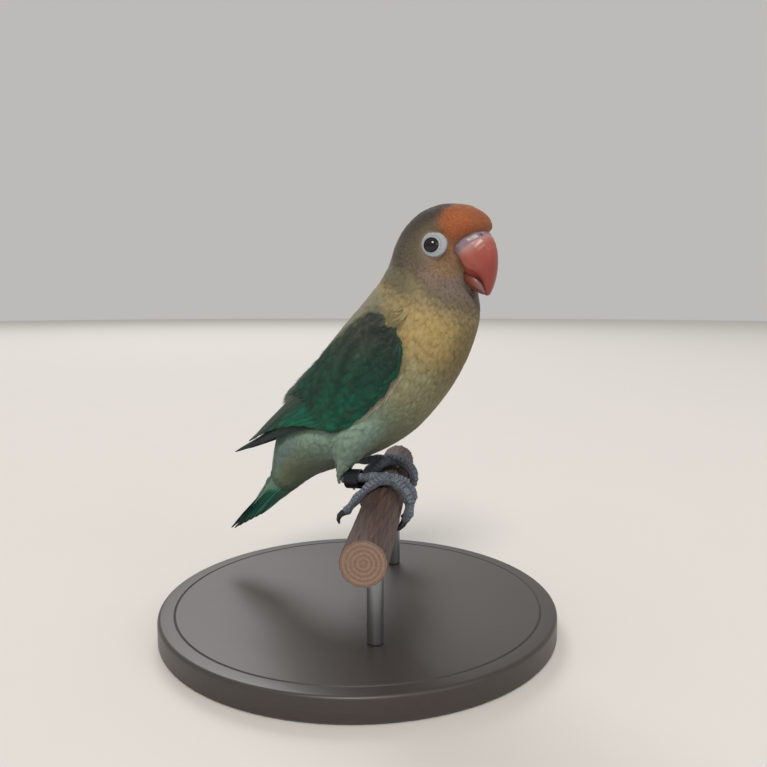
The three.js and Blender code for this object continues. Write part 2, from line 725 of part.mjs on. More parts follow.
// The leg band: a short open tube, loose on the right tarsus.
const bandCentre = perchToBird(-9.9, FEET.right.along - 0.4 - 10.3 * LEG_LEAN, 1.1);
const bandAlong = perchToBird(5, 5 * LEG_LEAN, 0.4).normalize();
function bandTube(radius, length) {
  const tube = new THREE.CylinderGeometry(radius, radius, length, 20).rotateX(Math.PI / 2);
  const turn = new THREE.Matrix4().makeRotationFromQuaternion(
    new THREE.Quaternion().setFromUnitVectors(vec(0, 0, 1), bandAlong),
  );
  return toSolid(tube.applyMatrix4(turn.setPosition(bandCentre)));
}

// Assembly
const CLEAR = GAP + 0.06; // a cutter of few sides is grown a little more, so that the gap is whole
const BILL_CLEAR = 0.62;
const perchInBird = perchStick(CLEAR).rotate([0, 0, THREE.MathUtils.radToDeg(-BODY_TURN)]);
const upperBill = (grow) => billHalf(UPPER_BILL_ROWS, 0.62, grow);
const lowerBill = (grow) => billHalf(LOWER_BILL_ROWS, 0.4, grow);
const recesses = [wingRecess(), mirrored(wingRecess())];
const TORSO_STEPS = 13;
const torsoCutter = bodyLength(0, NECK_FROM, TORSO_STEPS, CLEAR);

const bird = new THREE.Group();
bird.rotation.z = BODY_TURN;
const bandRoom = bandTube(BAND_OUTER + CLEAR, BAND_LENGTH + 2 * CLEAR);
const legs = Object.entries(FEET).map(([name, foot]) => ({ name, ...legShapes(foot.side, foot) }));
const legRoom = legs.map((leg) => limb(leg.tarsus, 10, 5, CLEAR));

bird.add(node("torso", cut(bodyLength(0, NECK_FROM, TORSO_STEPS), [...recesses, ...legRoom]), PLUMAGE));
bird.add(node("neck", cut(bodyLength(NECK_FROM + 0.07, HEAD_FROM, 4), recesses), NAPE));
const headSockets = [-1, 1].flatMap((side) => [inEye(eyeSocket(CLEAR + 0.06), side), inEye(eyeball(CLEAR), side)]);
const headWhole = bodyLength(HEAD_FROM + 0.09, BODY_ROWS.length - 1, 12);
bird.add(node("head", cut(headWhole, [upperBill(BILL_CLEAR), lowerBill(BILL_CLEAR), ...headSockets]), HOOD));
bird.add(node("bill_upper", cut(upperBill(0), nostrils()), BILL_RED));
bird.add(node("bill_lower", cut(lowerBill(0), [upperBill(CLEAR)]), BILL_RED));
for (const [name, side] of [["right", -1], ["left", 1]]) {
  bird.add(node(`eye_${name}`, inEye(eyeball(), side), EYE_DARK));
  bird.add(node(`eye_ring_${name}`, inEye(cut(eyeRing(), [eyeball(CLEAR)]), side), SKIN_WHITE));
  const wing = side < 0 ? rightWing() : mirrored(rightWing());
  bird.add(node(`wing_${name}`, wing, WING_GREEN));
}
bird.add(node("tail", tail(), TAIL_GREEN));

for (const [i, leg] of legs.entries()) {
  const tools = [torsoCutter, legRoom[i], perchInBird, bandRoom, ...recesses];
  bird.add(node(`thigh_${leg.name}`, cut(limb(leg.thigh, 14, 7), tools), PLUMAGE));
  const foot = join([limb(leg.tarsus, 10, 4), ...leg.toes.map((rows) => limb(rows, 6, 5))]);
  bird.add(node(`foot_${leg.name}`, cut(foot, [perchInBird]), LEG_GREY));
  leg.claws.forEach((rows, k) => {
    const claw = cut(limb(rows, 6, 4), [perchInBird]);
    bird.add(node(`claw_${leg.name}_${CLAW_NAMES[k]}`, claw, CLAW_BLACK));
  });
}
const band = cut(bandTube(BAND_OUTER, BAND_LENGTH), [bandTube(BAND_INNER, BAND_LENGTH * 2)]);
bird.add(node("leg_band", band, BAND_BLACK));

const model = new THREE.Group();
const onPerch = new THREE.Group();
onPerch.position.copy(BASE_CENTRE).negate().setZ(PERCH_TOP);
onPerch.add(bird);
onPerch.add(node("perch", perchStick(), PERCH_WOOD));
const rodLength = PERCH_TOP - BASE_THICKNESS - GAP;
ROD_PLACES.forEach((along, i) => {
  const rod = new THREE.CylinderGeometry(ROD_RADIUS, ROD_RADIUS, rodLength, 20).rotateX(Math.PI / 2);
  rod.translate(0, along, -rodLength / 2);
  onPerch.add(node(`stand_rod_${i + 1}`, cut(toSolid(rod), [perchStick(GAP, 200, 200)]), ROD_STEEL));
});
model.add(onPerch);

const edge = 1.2;
const baseProfile = [
  [0, 0],
  [BASE_RADIUS - edge * 0.6, 0],
  [BASE_RADIUS, edge * 0.6],
  [BASE_RADIUS, BASE_THICKNESS - edge],
  [BASE_RADIUS - edge * 0.3, BASE_THICKNESS - edge * 0.3],
  [BASE_RADIUS - edge, BASE_THICKNESS],
  [0, BASE_THICKNESS],
].map(([r, z]) => new THREE.Vector2(r, z));
const base = toSolid(new THREE.LatheGeometry(baseProfile, 48).rotateX(Math.PI / 2));
model.add(node("stand_base", base, BASE_LACQUER));

export default model;
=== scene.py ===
"""A life-size lovebird that grips a short perch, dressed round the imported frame."""
import math

import bmesh
import bpy
import numpy as np
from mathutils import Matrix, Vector
from mathutils.bvhtree import BVHTree


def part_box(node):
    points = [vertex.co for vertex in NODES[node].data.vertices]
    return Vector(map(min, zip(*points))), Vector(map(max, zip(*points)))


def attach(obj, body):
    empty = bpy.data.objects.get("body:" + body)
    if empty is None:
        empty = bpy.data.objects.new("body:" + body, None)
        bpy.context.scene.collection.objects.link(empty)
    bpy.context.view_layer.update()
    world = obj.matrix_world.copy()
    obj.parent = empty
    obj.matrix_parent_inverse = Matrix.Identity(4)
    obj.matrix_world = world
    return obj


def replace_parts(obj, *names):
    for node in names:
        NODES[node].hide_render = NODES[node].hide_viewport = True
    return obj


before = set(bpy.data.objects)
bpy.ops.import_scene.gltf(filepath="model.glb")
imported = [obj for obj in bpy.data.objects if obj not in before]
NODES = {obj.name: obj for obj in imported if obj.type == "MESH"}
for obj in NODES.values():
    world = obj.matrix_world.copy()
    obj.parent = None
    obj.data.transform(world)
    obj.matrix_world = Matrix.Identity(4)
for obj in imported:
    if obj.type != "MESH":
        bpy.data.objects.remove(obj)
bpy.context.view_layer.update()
MM = 0.001
chance = np.random.default_rng(7)

# Places: the bird is worked out in millimetres, facing +X, with Z = 0 at the top of the perch.
BODY_TURN = math.radians(-20)
HEAD_TURN = math.radians(-11)
BIRD_AT = np.array((9.0, 8.0, 49.0))
HEAD_CENTRE = np.array((18.0, 0.0, 75.0))
BASE_RADIUS, BASE_THICKNESS = 66.0, 8.0
PERCH_RADIUS, PERCH_NEAR, PERCH_FAR, PERCH_TOP = 6.35, 72.0, 54.0, 49.0
ROD_RADIUS, ROD_PLACES = 2.5, (-42.0, 28.0)


def turned(points, angle):
    points = np.asarray(points, float)
    c, s = math.cos(angle), math.sin(angle)
    x, y = points[..., 0], points[..., 1]
    return np.stack((c * x - s * y, s * x + c * y, points[..., 2]), -1)


def bird_to_frame(points):
    return (turned(points, BODY_TURN) + BIRD_AT) * MM


def frame_to_bird(points):
    return turned(np.asarray(points) / MM - BIRD_AT, -BODY_TURN)


def head_to_bird(points):
    return turned(points, HEAD_TURN) + HEAD_CENTRE


def bird_to_head(points):
    return turned(np.asarray(points) - HEAD_CENTRE, -HEAD_TURN)


def head_to_frame(points):
    return bird_to_frame(head_to_bird(points))


def frame_to_head(points):
    return bird_to_head(frame_to_bird(points))


def perch_to_bird(points):
    return turned(points, -BODY_TURN)


def unit(vectors):
    return vectors / np.maximum(np.linalg.norm(vectors, axis=-1, keepdims=True), 1e-9)


def smoothstep(value, low, high):
    t = np.clip((np.asarray(value, float) - low) / (high - low), 0, 1)
    return t * t * (3 - 2 * t)


def lerp(a, b, t):
    return a + (b - a) * t


def through_rows(rows, place):
    """A smooth value through evenly spaced rows of numbers, at places counted in rows."""
    rows = np.asarray(rows, float)
    last = len(rows) - 1
    at = np.clip(place, 0, last)
    i = np.minimum(np.floor(at).astype(int), last - 1)
    u = (at - i)[..., None]
    a, b, c, d = (rows[np.clip(i + k, 0, last)] for k in (-1, 0, 1, 2))
    return b + 0.5 * u * (c - a + u * (2 * a - 5 * b + 4 * c - d + u * (3 * (b - c) + d - a)))


# Colours are written as sRGB hex values and turned to linear here.
def colour(code):
    parts = np.array([int(code[i : i + 2], 16) / 255 for i in (1, 3, 5)])
    return np.where(parts <= 0.04045, parts / 12.92, ((parts + 0.055) / 1.055) ** 2.4)


def rgba(code):
    return (*colour(code), 1.0)


def stain(colours, code, share):
    """Lays a colour over others, by a share for each point."""
    share = np.clip(np.broadcast_to(share, colours.shape[:-1]), 0, 1)[..., None]
    return colours * (1 - share) + colour(code) * share


# Body: the rows of the solids, as back x, back z, belly x, belly z and half width.
BODY_ROWS = np.array([
    (-46.6, -3.0, -38.8, -11.2, 5.8), (-44.4, 5.5, -31.0, -4.8, 10.0), (-42.0, 13.5, -22.5, -1.0, 13.8),
    (-37.4, 22.3, -11.5, 3.2, 17.2), (-31.0, 31.8, 0.0, 8.8, 19.6), (-24.5, 40.7, 9.6, 15.2, 21.2),
    (-17.0, 49.3, 18.2, 24.6, 21.8), (-10.5, 56.2, 24.6, 34.0, 21.3), (-5.2, 61.8, 28.9, 42.6, 20.0),
    (-1.6, 66.4, 31.4, 50.4, 18.2), (0.6, 70.0, 32.2, 57.2, 16.6), (2.2, 73.6, 31.0, 64.4, 15.5),
    (3.6, 77.4, 31.4, 71.8, 14.8), (5.6, 81.5, 36.4, 79.8, 13.7), (8.8, 85.2, 37.0, 84.0, 12.0),
    (13.2, 88.3, 34.2, 87.2, 9.4), (18.8, 90.2, 29.4, 89.8, 5.2),
])


def untwisted(points, place):
    """Takes the head's turn out of points, by the share that their place on the body has of it."""
    share = smoothstep(place, 8, 12)[:, None]
    return points * (1 - share) + (bird_to_head(points) + HEAD_CENTRE) * share


def body_place(points):
    back, belly = BODY_ROWS[:, 0:2], BODY_ROWS[:, 2:4]
    line = unit(belly - back)
    flat = points[:, None, (0, 2)] - back
    ahead = -(line[:, 0] * flat[..., 1] - line[:, 1] * flat[..., 0])
    if ahead[:, 0].mean() < ahead[:, -1].mean():
        ahead = -ahead
    rows = np.arange(len(points))
    i = np.clip((ahead >= 0).sum(1) - 1, 0, len(BODY_ROWS) - 2)
    step = ahead[rows, i] - ahead[rows, i + 1]
    return np.clip(i + ahead[rows, i] / np.where(np.abs(step) < 1e-6, 1e-6, step), -1, len(BODY_ROWS))


def on_body(points):
    """Where points lie on the body: rows from the tail to the crown, and the turn round it from right to back."""
    place = body_place(points)
    straight = untwisted(points, place)
    place = body_place(straight)
    row = through_rows(BODY_ROWS, place)
    centre = (row[:, 0:2] + row[:, 2:4]) / 2
    up = row[:, 0:2] - centre
    reach = np.linalg.norm(up, axis=1)
    height = ((straight[:, (0, 2)] - centre) * up).sum(1) / reach**2
    side = straight[:, 1] / row[:, 4]
    return place, np.arctan2(height, side), straight


def body_reach(points):
    """How far points lie from the body's middle, as a share of the way to its rounded surface."""
    place, turn, straight = on_body(points)
    row = through_rows(BODY_ROWS, place)
    centre = (row[:, 0:2] + row[:, 2:4]) / 2
    height = np.linalg.norm(straight[:, (0, 2)] - centre, axis=1) / np.linalg.norm(row[:, 0:2] - centre, axis=1)
    return np.hypot(height, straight[:, 1] / (row[:, 4] * (1 - 0.06 * np.sin(turn))))


# The lie of the coat: guides of x, y, z and the way that the feathers point there, the same on both sides.
LIE_GUIDES = np.array([
    (36, 0, 82, -0.3, 0, 1), (33, 0, 87, -0.8, 0, 0.6), (24, 0, 91, -1, 0, 0), (12, 0, 88, -0.85, 0, -0.5),
    (5, 0, 81, -0.4, 0, -0.92), (1, 0, 71, -0.2, 0, -1), (-6, 0, 61, -0.55, 0, -0.83), (-20, 0, 45, -0.62, 0, -0.78),
    (-33, 0, 29, -0.55, 0, -0.84), (-42, 0, 12, -0.35, 0, -0.94), (-46, 0, -2, -0.55, 0, -0.83),
    (32, 9, 77, -0.8, 0.5, 0.25), (26, 11, 83, -0.95, 0.1, 0.25), (14, 14, 77, -0.92, 0, -0.35),
    (24, 14, 68, -0.55, 0.1, -0.82), (10, 15, 70, -0.6, 0, -0.8), (31, 5, 66, -0.25, 0.1, -0.96),
    (31, 0, 60, -0.02, 0, -1), (8, 17, 62, -0.45, 0, -0.89), (32, 0, 50, -0.12, 0, -1), (20, 18, 46, -0.4, 0.1, -0.9),
    (22, 0, 31, -0.5, 0, -0.87), (8, 0, 14, -0.82, 0, -0.58), (5, 20, 25, -0.72, 0, -0.7), (-8, 0, 5, -0.92, 0, -0.4),
    (-12, 14, 8, -0.85, 0, -0.52), (-25, 0, -3, -0.9, 0, -0.45), (-30, 10, 4, -0.82, 0, -0.57),
    (-38, 0, -9, -0.74, 0, -0.68), (-38, 10, 8, -0.6, 0, -0.8), (-12, 17, 10, -0.4, 0, -0.92),
    (-13, 17, 3, -0.35, 0, -0.94),
])
LIE_GUIDES = np.vstack([LIE_GUIDES, LIE_GUIDES[LIE_GUIDES[:, 1] > 0] * (1, -1, 1, 1, -1, 1)])


def lie_at(straight, normals):
    apart = ((straight[:, None] - LIE_GUIDES[:, 0:3]) ** 2).sum(-1)
    weight = 1 / (apart + 6) ** 2
    way = (weight[..., None] * unit(LIE_GUIDES[:, 3:6])).sum(1)
    way -= normals * (way * normals).sum(1, keepdims=True)
    return unit(way)


# Eye: its frame has Z out of the head, X forward and Y up.
EYE_PLACE = np.array((5.6, -12.7, 1.4))
EYE_OUT = unit(np.array((0.36, -0.92, 0.13)))
EYE_AHEAD = unit(np.cross((0, 0, 1), EYE_OUT))
EYE_AXES = np.array((EYE_AHEAD, np.cross(EYE_OUT, EYE_AHEAD), EYE_OUT))
EYE_RADIUS, EYE_DEPTH, RING_INNER, RING_OUTER = 3.1, -1.9, 2.35, 4.1
RING_SHIFT = (0.9, 0.4)


def eye_to_bird(points, side):
    place = np.asarray(points) @ EYE_AXES + EYE_PLACE
    return head_to_bird(place * (1, -side, 1))


def bird_to_eye(points, side):
    place = bird_to_head(points) * (1, -side, 1)
    return (place - EYE_PLACE) @ EYE_AXES.T


# Markings, the same on the skin and on every feather that grows from it.
def markings(points):
    place, turn, straight = on_body(points)
    head = straight - HEAD_CENTRE
    x, y, z = head[:, 0], np.abs(head[:, 1]), head[:, 2]
    above = np.sin(turn)  # 1 along the back, -1 along the belly
    tint = np.tile(colour("#868a70"), (len(points), 1))
    # breast and belly
    tint = stain(tint, "#72715a", smoothstep(place, 5.2, 3.6) * smoothstep(above, -0.5, -0.9))
    tint = stain(tint, "#879f8f", smoothstep(place, 6.9, 5.4) * smoothstep(above, -0.97, -0.6))
    tint = stain(tint, "#a5a27e", smoothstep(place, 4.8, 6.6))
    tint = stain(tint, "#a69367", smoothstep(place, 6.6, 8.3))
    collar = smoothstep(place, 7.0, 8.0) * smoothstep(place, 9.6, 8.8)
    tint = stain(tint, "#b69f6a", collar * smoothstep(above, 0.1, -0.5) * 0.8)
    # painted shade: the underside of the breast is darkened as if in its own shadow
    tint = stain(tint, "#6f6449", smoothstep(above, -0.75, -1.0) * smoothstep(place, 5, 8) * 0.7)
    # back, from the mantle down to the rump
    over_back = smoothstep(above, 0.05, 0.6)
    tint = stain(tint, "#87846e", over_back * smoothstep(place, 9.8, 8.2))
    tint = stain(tint, "#5f6c5b", over_back * smoothstep(place, 7.6, 5.4))
    tint = stain(tint, "#4a6b5e", over_back * smoothstep(place, 4.5, 2.4))
    # vent and the sides of the rump
    behind = smoothstep(place, 3.6, 2.2)
    tint = stain(tint, "#7c8c74", behind * smoothstep(above, 0.5, 0.0))
    flank = smoothstep(above, -0.2, 0.15) * smoothstep(above, 0.6, 0.25)
    tint = stain(tint, "#6f8482", behind * flank * smoothstep(place, 0.8, 1.8))
    vent = smoothstep(np.abs(place - 1.7), 1.0, 0.2) * smoothstep(np.abs(above + 0.45), 0.4, 0.1)
    tint = stain(tint, "#7d725e", vent * 0.25)
    tint = stain(tint, "#3f5a4e", smoothstep(place, 1.0, -0.2))
    # neck
    neck = smoothstep(place, 8.9, 9.9)
    tint = stain(tint, "#a08f68", neck)
    tint = stain(tint, "#716b55", neck * smoothstep(above, -0.5, 0.2))
    # head
    hood = smoothstep(place - 0.5 * above + 0.7 * smoothstep(above, 0.0, -0.5), 10.3, 11.4)
    tint = stain(tint, "#6d6351", hood)
    tint = stain(tint, "#5b5248", hood * smoothstep(above, -0.1, 0.45))
    crown = smoothstep(z - 0.35 * x, 4.0, 9.5)
    tint = stain(tint, "#463e39", crown)
    tint = stain(tint, "#857163", smoothstep(z, 3, -2) * smoothstep(z, -12, -8) * smoothstep(x, 0, 6))
    tint = stain(tint, "#7b6c62", smoothstep(z, -6, -10) * smoothstep(x, 4, 9) * smoothstep(place, 9.9, 10.6))
    tint = stain(tint, "#8c7050", smoothstep(np.hypot(x - 9.0, z + 4.2), 5.0, 1.5) * 0.8)
    lores = smoothstep(x, 7.6, 10.5) * smoothstep(z, -3.5, -0.5)
    tint = stain(tint, "#95694a", lores)
    front = smoothstep(x, 5.0, 12.5) * smoothstep(z, 1.0, 4.5)
    front = front * (1 - 0.8 * smoothstep(z - 0.1 * np.abs(x - 8), 11.6, 13.6))
    tint = stain(tint, "#93593a", front)
    tint = stain(tint, "#a8613a", front * smoothstep(np.hypot(x - 12, z - 8.5), 6.5, 2.0))
    return tint


# Wing: the sheet of the solids, with s from the shoulder to the tip and q from its upper edge to its lower.
WING_ROWS = np.array([
    (7.6, -19.4, 54.0, 11.0, -20.8, 50.0), (3.4, -18.9, 55.2, 13.6, -21.3, 45.0),
    (-1.8, -17.8, 52.8, 13.4, -21.3, 39.6), (-8.2, -17.0, 48.4, 9.6, -21.4, 33.6),
    (-15.4, -15.6, 42.6, 3.6, -21.4, 27.2), (-22.4, -13.4, 36.6, -3.6, -21.0, 21.6),
    (-29.2, -11.2, 30.8, -11.0, -20.2, 17.4), (-35.4, -8.8, 26.0, -19.4, -19.2, 16.4),
    (-41.4, -7.2, 20.6, -28.0, -17.4, 14.4), (-46.6, -6.1, 16.0, -37.6, -13.2, 11.0),
    (-52.4, -5.2, 10.8, -47.0, -8.8, 8.0), (-61.8, -4.5, 4.1, -61.4, -4.8, 3.7),
])
WING_BULGE, WING_BED, WING_LENGTH = 2.2, (5.2, 3.0), 82.0
SHOULDER_OUT = np.array((0.55, 0, 0.83))


def on_sheet(s, q):
    s, q = np.broadcast_arrays(np.asarray(s, float), np.asarray(q, float))
    row = through_rows(WING_ROWS, s * (len(WING_ROWS) - 1))
    bulge = WING_BULGE * np.sin(np.pi * np.clip(0.12 + s * 0.9, 0, 1)) * 4 * q * (1 - q)
    point = lerp(row[..., 0:3], row[..., 3:6], q[..., None])
    ahead = SHOULDER_OUT * (-np.minimum(s, 0) * WING_LENGTH)[..., None]
    return point + ahead + np.stack((np.zeros_like(bulge), -bulge, bulge * 0.35), -1)


def wing_normal(s, q):
    at = np.clip(s, 0.1, 0.9)
    over = lerp(0.5, np.asarray(q, float), smoothstep(s, 0, 0.25))
    along = on_sheet(at + 0.04, over) - on_sheet(at - 0.02, over)
    across = on_sheet(at, over + 0.05) - on_sheet(at, over - 0.05)
    return unit(np.cross(along, across))


def on_wing(s, q, height):
    s, q, height = np.broadcast_arrays(np.asarray(s, float), q, height)
    bed = lerp(*WING_BED, smoothstep(s, 0.3, 0.7))
    return on_sheet(s, q) + wing_normal(s, q) * (height - bed)[..., None]


def wing_chord(s):
    return np.linalg.norm(on_sheet(s, 0.0) - on_sheet(s, 1.0), axis=-1)


# Materials
def add(tree, kind, settings=None, links=None):
    """Adds a node with its settings and links. A setting's key is a socket's name or number, or a property."""
    node = tree.nodes.new(kind)
    for key, value in (settings or {}).items():
        if isinstance(key, str) and hasattr(node, key) and key not in node.inputs:
            setattr(node, key, value)
        else:
            node.inputs[key].default_value = value
    for key, source in (links or {}).items():
        tree.links.new(source, node.inputs[key])
    return node


def new_material(name):
    material = bpy.data.materials.new(name)
    material.use_nodes = True
    material.node_tree.nodes.clear()
    return material, material.node_tree


def surface(tree, settings, links):
    shader = add(tree, "ShaderNodeBsdfPrincipled", settings, links)
    add(tree, "ShaderNodeOutputMaterial", links={"Surface": shader.outputs[0]})


def shaded(tree, source, low, high, light):
    """A colour made darker or lighter by a value between 0 and 1."""
    scale = add(tree, "ShaderNodeMapRange", {"To Min": low, "To Max": high}, {"Value": light}).outputs[0]
    return add(tree, "ShaderNodeVectorMath", {"operation": "SCALE"}, {0: source, "Scale": scale}).outputs[0]


def plumage_material():
    """Keratin barbs in soft contour feathers: matte, with a faint sheen and streaks half a millimetre wide."""
    material, tree = new_material("contour_feather_keratin")
    tint = add(tree, "ShaderNodeAttribute", {"attribute_name": "tint"}).outputs["Color"]
    place = add(tree, "ShaderNodeTexCoord").outputs["Object"]
    streaks = add(tree, "ShaderNodeTexNoise", {"Scale": 1 / (0.9 * MM), "Detail": 3.0}, {"Vector": place})
    shade = shaded(tree, tint, 0.84, 1.14, streaks.outputs[0])
    surface(tree, {"Roughness": 0.72, "Specular IOR Level": 0.25, "Sheen Weight": 0.12, "Sheen Roughness": 0.5},
            {"Base Color": shade})
    return material


def vane_material():
    """Stiff flight feathers: close barbs at a slant to the quill, drawn 0.45 mm apart, with a soft gloss."""
    material, tree = new_material("flight_feather_keratin")
    tint = add(tree, "ShaderNodeAttribute", {"attribute_name": "tint"}).outputs["Color"]
    barbs_uv = add(tree, "ShaderNodeUVMap", {"uv_map": "Barbs"}).outputs[0]
    barbs = add(tree, "ShaderNodeTexWave",
                {"bands_direction": "Y", "Scale": 0.7, "Distortion": 1.2, "Detail": 2.0, "Detail Scale": 1.5},
                {"Vector": barbs_uv}).outputs["Fac"]
    clumps = add(tree, "ShaderNodeTexNoise", {"Scale": 0.55, "Detail": 3.0}, {"Vector": barbs_uv}).outputs[0]
    shade = shaded(tree, shaded(tree, tint, 0.86, 1.1, barbs), 0.72, 1.3, clumps)
    bump = add(tree, "ShaderNodeBump", {"Strength": 0.35, "Distance": 0.00008}, {"Height": barbs}).outputs[0]
    surface(tree, {"Roughness": 0.58, "Specular IOR Level": 0.25}, {"Base Color": shade, "Normal": bump})
    return material


def tinted_material(name, roughness, grain_mm, bump_mm, low=0.9, high=1.1, **settings):
    """A painted form with fine grain of a stated size in its colour and its surface."""
    material, tree = new_material(name)
    tint = add(tree, "ShaderNodeAttribute", {"attribute_name": "tint"}).outputs["Color"]
    place = add(tree, "ShaderNodeTexCoord").outputs["Object"]
    grain = add(tree, "ShaderNodeTexNoise", {"Scale": 1 / (grain_mm * MM), "Detail": 4.0}, {"Vector": place}).outputs[0]
    links = {"Base Color": shaded(tree, tint, low, high, grain)}
    links["Normal"] = add(tree, "ShaderNodeBump", {"Strength": 0.6, "Distance": bump_mm * MM},
                          {"Height": grain}).outputs[0]
    surface(tree, {"Roughness": roughness, **{key.replace("_", " "): value for key, value in settings.items()}}, links)
    return material


def foot_material():
    """Horny scales on bare skin: round pebbles 0.8 mm wide with darker folds between them, dull and dusty."""
    material, tree = new_material("foot_scale_horn")
    tint = add(tree, "ShaderNodeAttribute", {"attribute_name": "tint"}).outputs["Color"]
    place = add(tree, "ShaderNodeTexCoord").outputs["Object"]
    pebbles = add(tree, "ShaderNodeTexVoronoi", {"feature": "DISTANCE_TO_EDGE", "Scale": 1 / (0.8 * MM)},
                  {"Vector": place}).outputs["Distance"]
    domes = add(tree, "ShaderNodeMapRange", {"interpolation_type": "SMOOTHSTEP", "From Max": 0.22}, {"Value": pebbles})
    bump = add(tree, "ShaderNodeBump", {"Strength": 0.9, "Distance": 0.00012}, {"Height": domes.outputs[0]})
    surface(tree, {"Roughness": 0.6, "Specular IOR Level": 0.35},
            {"Base Color": shaded(tree, tint, 0.62, 1.12, domes.outputs[0]), "Normal": bump.outputs[0]})
    return material


def wood_material(name, roughness, coat, grain_mm, long_mm, bump_mm, low, high, long_axis):
    """Wood with its grain drawn out along one axis: fine pores across it and long streaks with it."""
    material, tree = new_material(name)
    tint = add(tree, "ShaderNodeAttribute", {"attribute_name": "tint"}).outputs["Color"]
    stretch = [1 / (grain_mm * MM)] * 3
    stretch[long_axis] = 1 / (long_mm * MM)
    place = add(tree, "ShaderNodeTexCoord").outputs["Object"]
    drawn = add(tree, "ShaderNodeMapping", {"Scale": stretch}, {"Vector": place}).outputs[0]
    grain = add(tree, "ShaderNodeTexNoise", {"Scale": 1.0, "Detail": 5.0, "Roughness": 0.62},
                {"Vector": drawn}).outputs[0]
    bump = add(tree, "ShaderNodeBump", {"Strength": 0.7, "Distance": bump_mm * MM}, {"Height": grain}).outputs[0]
    surface(tree, {"Roughness": roughness, "Coat Weight": coat, "Coat Roughness": 0.3},
            {"Base Color": shaded(tree, tint, low, high, grain), "Normal": bump})
    return material


PLUMAGE = plumage_material()
VANE = vane_material()
# Bare skin under the feathers: dry and matte.
BODY_SKIN = tinted_material("downy_skin", 0.85, 0.8, 0.05)
# Horn of the bill: smooth layered keratin with a soft gloss.
BILL_HORN = tinted_material("bill_keratin", 0.34, 1.4, 0.03, 0.88, 1.1, Coat_Weight=0.15, Coat_Roughness=0.25)
# Bare eye ring: dry skin in fine wrinkles.
RING_SKIN = tinted_material("bare_ring_skin", 0.55, 0.35, 0.05, 0.9, 1.06)
FOOT_SCALE = foot_material()
# Claws: dark polished horn.
CLAW_HORN = tinted_material("claw_horn", 0.28, 0.7, 0.02, 0.9, 1.1)
# The wet eye: near black under a clear, glossy front.
EYE_WET = tinted_material("wet_eye", 0.05, 2.0, 0.0005, 0.98, 1.02)
# Anodised aluminium of the leg band: satin, finely scratched.
BAND_METAL = tinted_material("anodised_aluminium", 0.4, 0.25, 0.01, 0.85, 1.2, Metallic=0.6)
# Perch: old stained hardwood, ribbed and worn.
PERCH_WOOD = wood_material("stained_hardwood", 0.62, 0.0, 0.7, 9.0, 0.2, 0.55, 1.5, 1)
# Base: lacquered wood with a low satin gloss.
BASE_WOOD = wood_material("lacquered_wood", 0.45, 0.2, 1.1, 30.0, 0.02, 0.75, 1.25, 0)
# Rods: ground stainless steel.
ROD_STEEL = tinted_material("ground_steel", 0.34, 0.3, 0.008, 0.92, 1.06, Metallic=1.0)


# Making pieces
def mesh_object(name, mesh, material, corner=None):
    mesh.name = name
    mesh.materials.clear()
    mesh.materials.append(material)
    mesh.shade_smooth()
    if corner:
        mesh.set_sharp_from_angle(angle=math.radians(corner))
    thing = bpy.data.objects.new(name, mesh)
    bpy.context.collection.objects.link(thing)
    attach(thing, "root")
    return thing


def points_of(mesh):
    flat = np.empty(len(mesh.vertices) * 3)
    mesh.vertices.foreach_get("co", flat)
    return flat.reshape(-1, 3)


def normals_of(mesh):
    flat = np.empty(len(mesh.vertices) * 3, np.float32)
    mesh.vertex_normals.foreach_get("vector", flat)
    return flat.reshape(-1, 3).astype(float)


def set_points(mesh, points):
    mesh.vertices.foreach_set("co", np.asarray(points, np.float32).ravel())
    mesh.update()


def set_tint(mesh, colours):
    layer = mesh.color_attributes.new(name="tint", type="FLOAT_COLOR", domain="POINT")
    full = np.ones((len(mesh.vertices), 4), np.float32)
    full[:, :3] = np.clip(colours, 0, 1)
    layer.data.foreach_set("color", full.ravel())


def set_map(mesh, name, places):
    """A UV map from one place for each vertex."""
    corners = np.empty(len(mesh.loops), np.int32)
    mesh.loops.foreach_get("vertex_index", corners)
    layer = mesh.uv_layers.new(name=name)
    layer.uv.foreach_set("vector", np.asarray(places, np.float32)[corners].ravel())


def mesh_of(points, triangles):
    mesh = bpy.data.meshes.new("feathers")
    mesh.vertices.add(len(points))
    mesh.vertices.foreach_set("co", np.asarray(points, np.float32).ravel())
    mesh.loops.add(triangles.size)
    mesh.loops.foreach_set("vertex_index", np.asarray(triangles, np.int32).ravel())
    mesh.polygons.add(len(triangles))
    mesh.polygons.foreach_set("loop_start", np.arange(0, triangles.size, 3, dtype=np.int32))
    mesh.update(calc_edges=True)
    return mesh


def shape_points(shape):
    return np.array([tuple(vert.co) for vert in shape.verts])


def place_shape(shape, points):
    for vert, point in zip(shape.verts, points):
        vert.co = point


def shape_mesh(shape):
    mesh = bpy.data.meshes.new("shape")
    shape.to_mesh(mesh)
    shape.free()
    return mesh


def node_shape(names, swell=0.0):
    """The merged copy of some CAD nodes, swollen by a length in millimetres."""
    shape = bmesh.new()
    for name in names:
        shape.from_mesh(NODES[name].data)
    bmesh.ops.remove_doubles(shape, verts=shape.verts, dist=2e-6)
    shape.normal_update()
    if swell:
        for vert in shape.verts:
            vert.co += vert.normal * (swell * MM)
    return shape


def remeshed(mesh, voxel, smoothing):
    """One closed skin round everything in a mesh, with its corners softened."""
    thing = bpy.data.objects.new("remesh", mesh)
    bpy.context.collection.objects.link(thing)
    remesh = thing.modifiers.new("skin", "REMESH")
    remesh.mode, remesh.voxel_size, remesh.adaptivity = "VOXEL", voxel * MM, 0.0
    soften = thing.modifiers.new("soften", "SMOOTH")
    soften.factor, soften.iterations = 0.5, smoothing
    result = bpy.data.meshes.new_from_object(thing.evaluated_get(bpy.context.evaluated_depsgraph_get()))
    bpy.data.objects.remove(thing)
    return result


